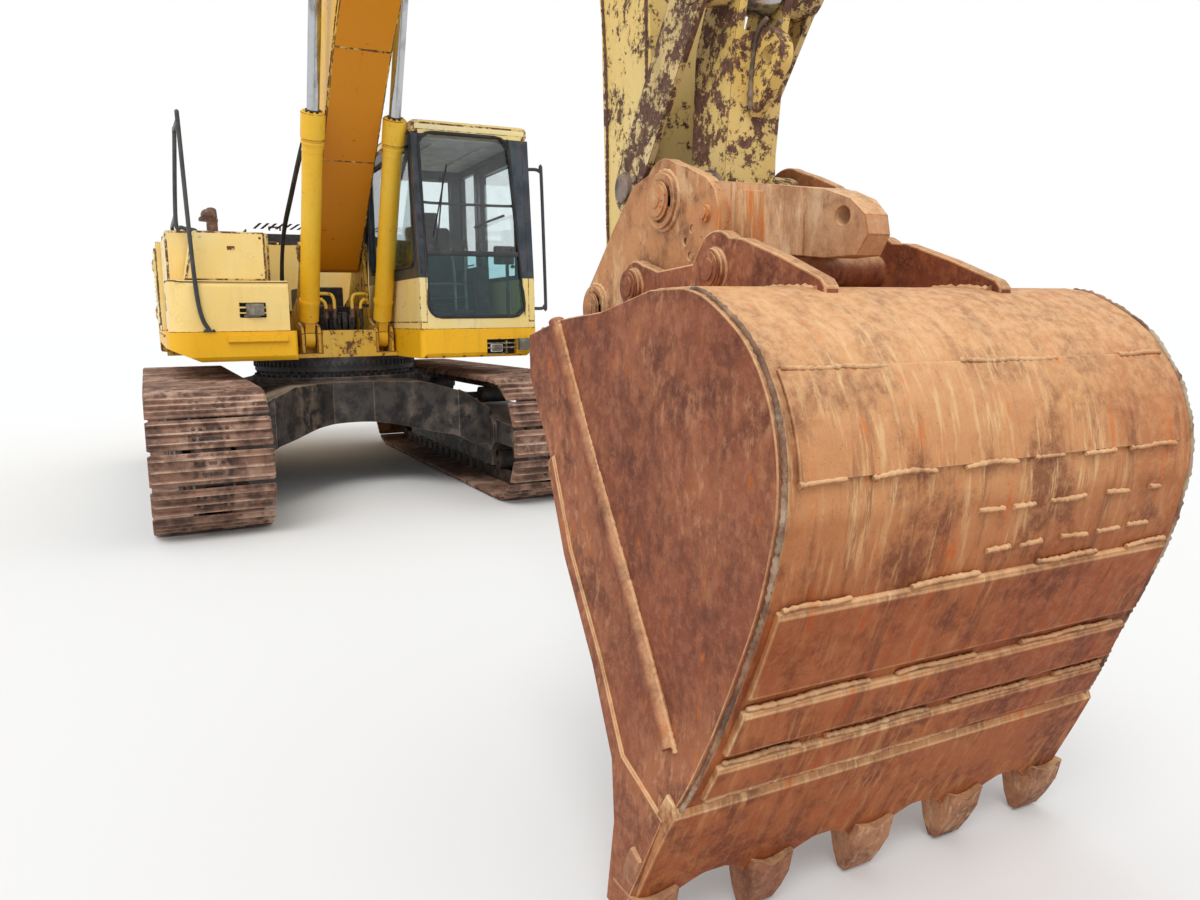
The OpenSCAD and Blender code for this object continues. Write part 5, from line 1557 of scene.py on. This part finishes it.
beads, rng = [], random.Random(11)
for z, start, end, lift, dash in ((1407, -0.58, 0.56, 8, 0.30), (1198, -0.58, 0.56, 8, 0.14),
                                  (1095, -0.10, 0.50, 2, 0.10), (1000, -0.05, 0.50, 2, 0.09),
                                  (948, -0.57, 0.57, 8, 0.24), (712, -0.57, 0.57, 8, 0.30),
                                  (566, -0.57, 0.57, 8, 0.26), (462, -0.57, 0.57, 10, 0.6)):
    y = start
    while y < end - 0.03:
        stop = min(end, y + dash * rng.uniform(0.6, 1.2))
        x = (back_at(z) + lift) / 1000
        n = max(2, int((stop - y) / 0.05) + 1)
        beads.append([(x + rng.uniform(-0.001, 0.001), (y + (stop - y) * i / (n - 1)) * flare(z / 1000),
                       z / 1000 + rng.uniform(-0.003, 0.003)) for i in range(n)])
        y = stop + dash * rng.uniform(0.25, 0.8)
tube_piece("stitch_welds", beads, 0.0065, bucket_edge, "bucket", 0.25, sides=2)
weld_pale = old_steel("weld_pale", (0.10, 0.045, 0.025), (0.30, 0.15, 0.08), (0.44, 0.36, 0.25),
                      (0.22, 0.25, 0.17), 0.7)
seam = [here(x, z, 0.606) for x, z in offset_line(rolled, 2)[5:]]
tube_piece("side_seam_welds", [[(p.x, s * p.y * flare(p.z), p.z) for p in seam] for s in (-1, 1)], 0.006,
           weld_pale, "bucket", 0.3, sides=2)
beads = [[here(x + dx, z, s * 0.6225 * flare(z / 1000)) for x, z in rib_line] for s in (-1, 1)
         for dx in (-23, 24)]
tube_piece("rib_welds", beads, 0.006, bucket_edge, "bucket", 0.3, sides=2)
ears = ([(6545, 1440), (6784, 1495), (7300, 1560), (7496, 1550), (7496, 1570), (7479, 1589), (7332, 1648),
         (7180, 1700)] + arc_points(mm(pin_front), 100, 50, 125, 8) + [(6950, 1650), (6760, 1640)]
        + arc_points(mm(pin_back), 78, 60, 180, 10))
for side, word in ((-1, "right"), (1, "left")):
    bosses = [bar_solid(here, mm(p), 54, *sorted((side * 0.256, side * 0.314)), 40)
              for p in (pin_front, pin_back)]
    parts = [plate_solid(here, ears, *sorted((side * 0.254, side * 0.296)))] + bosses
    made_piece("bucket_ear_" + word, joined(parts), side_steel, "bucket", (), 0.005)
bm = bmesh.new()
for p in (pin_front, pin_back):
    bar_between(bm, (p[0], -0.322, p[1]), (p[0], 0.322, p[1]), 0.045, 40)
    for side in (-1, 1):
        bar_between(bm, (p[0], side * 0.314, p[1]), (p[0], side * 0.318, p[1]), 0.052, 40)
        bar_between(bm, (p[0], side * 0.322, p[1]), (p[0], side * 0.326, p[1]), 0.030, 32)
block(bm, (6.58, -0.59, 1.452), (6.80, 0.59, 1.482), 0.004)
finished("bucket_pins", bm, [bucket_side], "bucket")
beads = [[here(x, z + 5, side * y) for x, z in ((6600, 1458), (6784, 1502), (7100, 1538), (7300, 1567),
                                                (7470, 1560))] for side in (-1, 1) for y in (0.250, 0.300)]
tube_piece("ear_welds", beads, 0.009, bucket_edge, "bucket", 0.28, sides=2)

# Lip and teeth: a thick lip plate scalloped between five cast adapters, each with a pointed tooth
# pinned over its nose. The cast steel is a smoother, browner rust than the plates.
tooth_rust = rusty_plate("tooth_rust", (0.12, 0.042, 0.025), (0.27, 0.105, 0.055), (0.40, 0.19, 0.095),
                         (0.45, 0.15, 0.04), (0.50, 0.30, 0.17), run=(1, 1, 0.4))
on_lip = beam_frame((7.500, 0.430), math.degrees(math.atan2(-330, -165)))
tooth_ys = [(i - 2) * 0.3365 for i in range(5)]


def lip_drop(y):
    """How far down the lip reaches at y: lowest at each adapter, arched up between them."""
    near = min(abs(y - t) for t in tooth_ys)
    t = max(0.0, min(1.0, (near - 0.052) / 0.085))
    return 345 - 75 * t ** 0.6


steps = [-0.722 + i * 0.0095 for i in range(153)]
edge = ([on_lip(-20, 14, y) for y in (0.690, -0.690)] + [on_lip(120, 14, -0.706)]
        + [on_lip(lip_drop(y), 14, y) for y in steps] + [on_lip(120, 14, 0.706)])
bm = pulled(edge, on_lip(0, -40) - on_lip(0, 14))
top = [e for e in bm.edges if all((v.co - on_lip(-20, 14, v.co.y)).length < 0.002 for v in e.verts)]
bmesh.ops.bevel(bm, geom=top, offset=0.022, segments=1, profile=0.5, affect="EDGES", clamp_overlap=True)
made_piece("lip_plate", bm, back_steel, "bucket", (), 0.004, 40, 50)
bm = bmesh.new()
for y in tooth_ys:
    made = block(bm, (-0.044, -0.056, -0.060), (0.036, 0.056, 0.13), 0.010)
    for v in made:
        if v.co.z > 0:
            v.co.x *= 0.6
    turned(bm, made, (7.346, y, 0.165), 22)
finished("adapters", bm, [tooth_rust], "bucket", 30)
bm = bmesh.new()
for y in tooth_ys:
    rings = [((7.350, 0.166), 0.061, 0.056), ((7.340, 0.110), 0.060, 0.050), ((7.330, 0.055), 0.055, 0.034),
             ((7.323, 0.008), 0.049, 0.013)]
    last = None
    for k, ((x, z), w, t) in enumerate(rings):
        drop = 0.026 if k == 0 else 0.0
        ring = [bm.verts.new((x + t * sx, y + w * sy, z - drop * (1 - abs(sy)) + (0.012 if k == 0 else 0)))
                for sx, sy in ((1, -1), (1, 0), (1, 1), (-1, 1), (-1, 0), (-1, -1))]
        if last:
            for i in range(6):
                bm.faces.new([last[i], last[(i + 1) % 6], ring[(i + 1) % 6], ring[i]])
        else:
            bm.faces.new(ring)
        last = ring
    bm.faces.new(last)
bmesh.ops.recalc_face_normals(bm, faces=bm.faces)
bmesh.ops.bevel(bm, geom=[e for e in bm.edges if e.is_manifold and e.calc_face_angle(0) > 0.5], offset=0.004,
                segments=2, profile=0.5, affect="EDGES", clamp_overlap=True)
for y in tooth_ys:
    for side in (-1, 1):
        bar_between(bm, (7.348, y + side * 0.050, 0.128), (7.348, y + side * 0.068, 0.128), 0.015, 16)
tooth_piece = finished("teeth", bm, [tooth_rust], "bucket", 22)
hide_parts("bucket_teeth")

# Car body: the welded box arch between the two track frames, low at its feet and high under the
# swing bearing, plated front and back, and bead welded. Dusty and browned black.


def front_solid(outline, x0, x1):
    """A plate cut to an outline in front view, in mm, reaching from x0 to x1."""
    return pulled([(x0 / 1000, y / 1000, z / 1000) for y, z in outline], ((x1 - x0) / 1000, 0, 0))


soffit = [(-560 + i * 70, 470 + 130 * math.cos(math.radians((-560 + i * 70) / 560 * 62))) for i in range(17)]
arch = [(-1045, 400), (-1045, 735), (-800, 890), (-560, 965), (560, 965), (800, 890), (1045, 735), (1045, 400),
        (900, 420), (740, 505)] + soffit[::-1] + [(-740, 505), (-900, 420)]
leg = [(0, 300), (300, 560), (760, 120), (900, 330), (1480, 760), (1480, 1040), (760, 1040), (500, 900),
       (0, 620)]
star = joined([plan_solid([(-800, -620), (800, -620), (800, 620), (-800, 620)], 290, 1020)]
              + [plan_solid([(sx * x, sy * y) for x, y in leg], 289 - k, 1021 + k) for k,
                 (sx, sy) in enumerate(((1, 1), (1, -1), (-1, 1), (-1, -1)))])
body = joined([front_solid(arch, -1480, 1480)], within=star)
round_top = bmesh.new()
bar_between(round_top, (0, 0, 0.90), (0, 0, 1.008), 0.77, 96)
made_piece("car_body_arch", joined([body, round_top]), [frame_paint, frame_edge], "undercarriage",
           ("car_body",), 0.007, 24)
seams = []
for sx in (-1, 1):
    for sy in (1, -1):
        seams.append([(sx * 1.482, sy * y, z) for y, z in ((-1.040, 0.728), (-0.800, 0.884), (-0.760, 0.900))])
    for sy in (-1, 1):
        seams.append([(sx * x, sy * 1.046, z) for x, z in ((0.78, 0.41), (0.78, 0.728), (1.47, 0.728))])
seams.append([(0.773 * math.cos(a * math.pi / 24), 0.773 * math.sin(a * math.pi / 24), 0.967)
              for a in range(49)])
tube_piece("frame_welds", seams, 0.008, weld_steel, "undercarriage", 0.12)

# Side decks: pressed yellow steel boxes under the tanks and the cab, their outer corner rounded
# and their lower edge cut back, with a step ledge on the right and a lamp well under the cab.


deck = [deck_yellow, deck_worn]


def deck_box(front, inner, side, round_in, round_out, cut):
    """A side deck: its front corners rounded, its outer lower edge cut back by cut."""
    plan = ([(-2460, inner)] + arc_points((front - round_in, inner + round_in), round_in, -90, 0, 4)
            + arc_points((front - round_out, 1495 - round_out), round_out, 0, 90, 10) + [(-2460, 1495)])
    plan = [(x, side * y) for x, y in plan]
    away = front_solid([(side * 1520, 1150), (side * (1495 - cut - 45), 1150), (side * (1495 - cut), 1185),
                        (side * 1495, 1300), (side * 1520, 1320)], -2500, front + 40)
    lip = plate_solid(here, [(front + 20, 1150), (front - 30, 1185), (front - 12, 1200), (front + 2, 1228),
                             (front + 20, 1230)], *sorted((side * 0.2, side * 1.6)))
    return joined([plan_solid(plan, 1185, 1430)], [away, lip])


right_deck = deck_box(1000, 483, -1, 30, 210, 250)
ledge = plate_solid(here, [(960, 1330), (1012, 1335), (1026, 1348), (1024, 1392), (960, 1405)], -1.035, -0.565)
made_piece("right_deck", joined([right_deck, ledge]), deck, "house", ("deck_skirts",), 0.010,
           24)
well = bmesh.new()
block(well, (1.485, 1.010, 1.205), (1.62, 1.285, 1.335))
made_piece("left_deck", joined([deck_box(1560, 430, 1, 60, 90, 110)], [well]), deck, "house",
           (), 0.010, 24)

# Tool box: a bent-sheet box on the right deck, its front corner rounded and its lower front
# pierced with three louvre slots over a lamp. A smaller upper box steps back behind it.
low_box = plan_solid([(400, -535), (982, -535)] + [(x, -y) for x, y in arc_points((802, 1285), 180, 0, 90, 10)]
                     + [(400, -1465)], 1432, 1850)
round_top = plate_solid(here, [(x, z) for x, z in arc_points((922, 1790), 60, 90, 0, 8)]
                        + [(1020, 1790), (1020, 1880), (922, 1880)], -1.5, -0.5)
slots_cut = []
for z in (1.545, 1.590, 1.635):
    slots_cut.append(bmesh.new())
    block(slots_cut[-1], (0.953, -0.930, z), (1.01, -0.725, z + 0.030))
made_piece("tool_box_low", joined([low_box], [round_top] + slots_cut), cream, "house",
           ("tool_box",), 0.006, 30)
made_piece("tool_box_top", front_solid([(-1325, 1848), (-1245, 2250), (-690, 2250), (-690, 1848)], 400, 900),
           cream, "house", (), 0.018, 30)

# Valve pipes: bent yellow steel pipe in pairs over the house's front opening, with grey hose
# fittings and black hoses dropping to the valve behind them.
pipes, drops, stubs = [], [], bmesh.new()
for s in (-1, 1):
    for y0, y1, z in ((0.222, 0.155, 1.705), (0.226, 0.080, 1.755)):
        pipes.append([(0.50, s * y0, z - 0.01), (0.505, s * (y0 - 0.03), z),
                      (0.51, s * (y1 + 0.035), z - 0.004), (0.515, s * (y1 + 0.008), z - 0.032),
                      (0.52, s * y1, z - 0.075), (0.52, s * y1, 1.60)])
        drops.append([(0.52, s * y1, 1.555), (0.525, s * (y1 + 0.006), 1.48), (0.50, s * (y1 - 0.012), 1.40),
                      (0.40, s * (y1 - 0.03), 1.32), (0.20, s * (y1 - 0.03), 1.30)])
        for low, high, r in ((1.595, 1.620, 0.024), (1.570, 1.598, 0.020), (1.535, 1.573, 0.023)):
            bar_between(stubs, (0.52, s * y1, low), (0.52, s * y1, high), r, 6 if r > 0.021 else 18)
    low, high = sorted((s * 0.06, s * 0.235))
    block(stubs, (0.505, low, 1.632), (0.514, high, 1.660), 0.002)
tube_piece("valve_pipes", pipes, 0.015, pipe_yellow, "house", sides=3, per=12)
tube_piece("valve_drops", drops, 0.016, hose_rubber, "house", sides=3, per=12)
finished("valve_fittings", stubs, [chain_steel], "house")

# Rails and exhaust: bent black steel tube, welded to bolted feet, the tall rail for the climb over
# the tool box and the thin one at the cab's outer corner, and a rusty stack with a bent mouth.
tube_piece("right_rail", [[(1.0, -1.172, 1.440), (1.0, -1.249, 1.74), (1.0, -1.291, 3.04),
                           (0.992, -1.292, 3.075), (0.965, -1.293, 3.088), (0.535, -1.302, 3.092),
                           (0.508, -1.303, 3.08), (0.50, -1.304, 3.05), (0.50, -1.343, 2.365),
                           (0.50, -1.30, 2.305), (0.50, -1.20, 2.285), (0.50, -1.20, 2.252)],
                          [(0.50, -1.343, 2.40), (-0.47, -1.343, 2.40), (-0.495, -1.343, 2.38),
                           (-0.50, -1.343, 2.30)]], 0.017, rail_black, "house", sides=4, per=8)
rail = tube_piece("cab_rail", [[(1.47, 1.44, 2.80), (1.488, 1.525, 2.802), (1.497, 1.562, 2.785),
                                (1.50, 1.576, 2.745), (1.51, 1.59, 1.68), (1.508, 1.582, 1.625),
                                (1.504, 1.555, 1.60), (1.50, 1.455, 1.60)]], 0.015, rail_black, "house",
                  sides=4, per=8)
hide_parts("handrails")
pipe = tube_piece("exhaust_pipe", [[(stack_x, stack_y, 2.33), (stack_x, stack_y, 2.62),
                                    (-1.908, stack_y, 2.665), (-1.945, stack_y, 2.72)]], 0.058, exhaust_rust,
                  "house", sides=5, per=6)
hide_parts("exhaust")

# Cab front: one pressed frame round the whole windscreen, its corners rounded and its posts thin,
# seam welded between the cab's side panels and painted in the same two colours as they are.
front_plate = plate_solid(here, [(1490, 1432), (1562, 1432), (1562, 1850), (1462, 3148), (1400, 3148),
                                 (1490, 1850)], 0.4905, 1.4045)
opening = front_solid([(y * 1000, z * 1000) for y, z in screen], 1300, 1700)
made_piece("cab_front_frame", joined([front_plate], [opening]), [cab_enamel, cab_worn], "house",
           ("cab_front",), 0.004, 30)
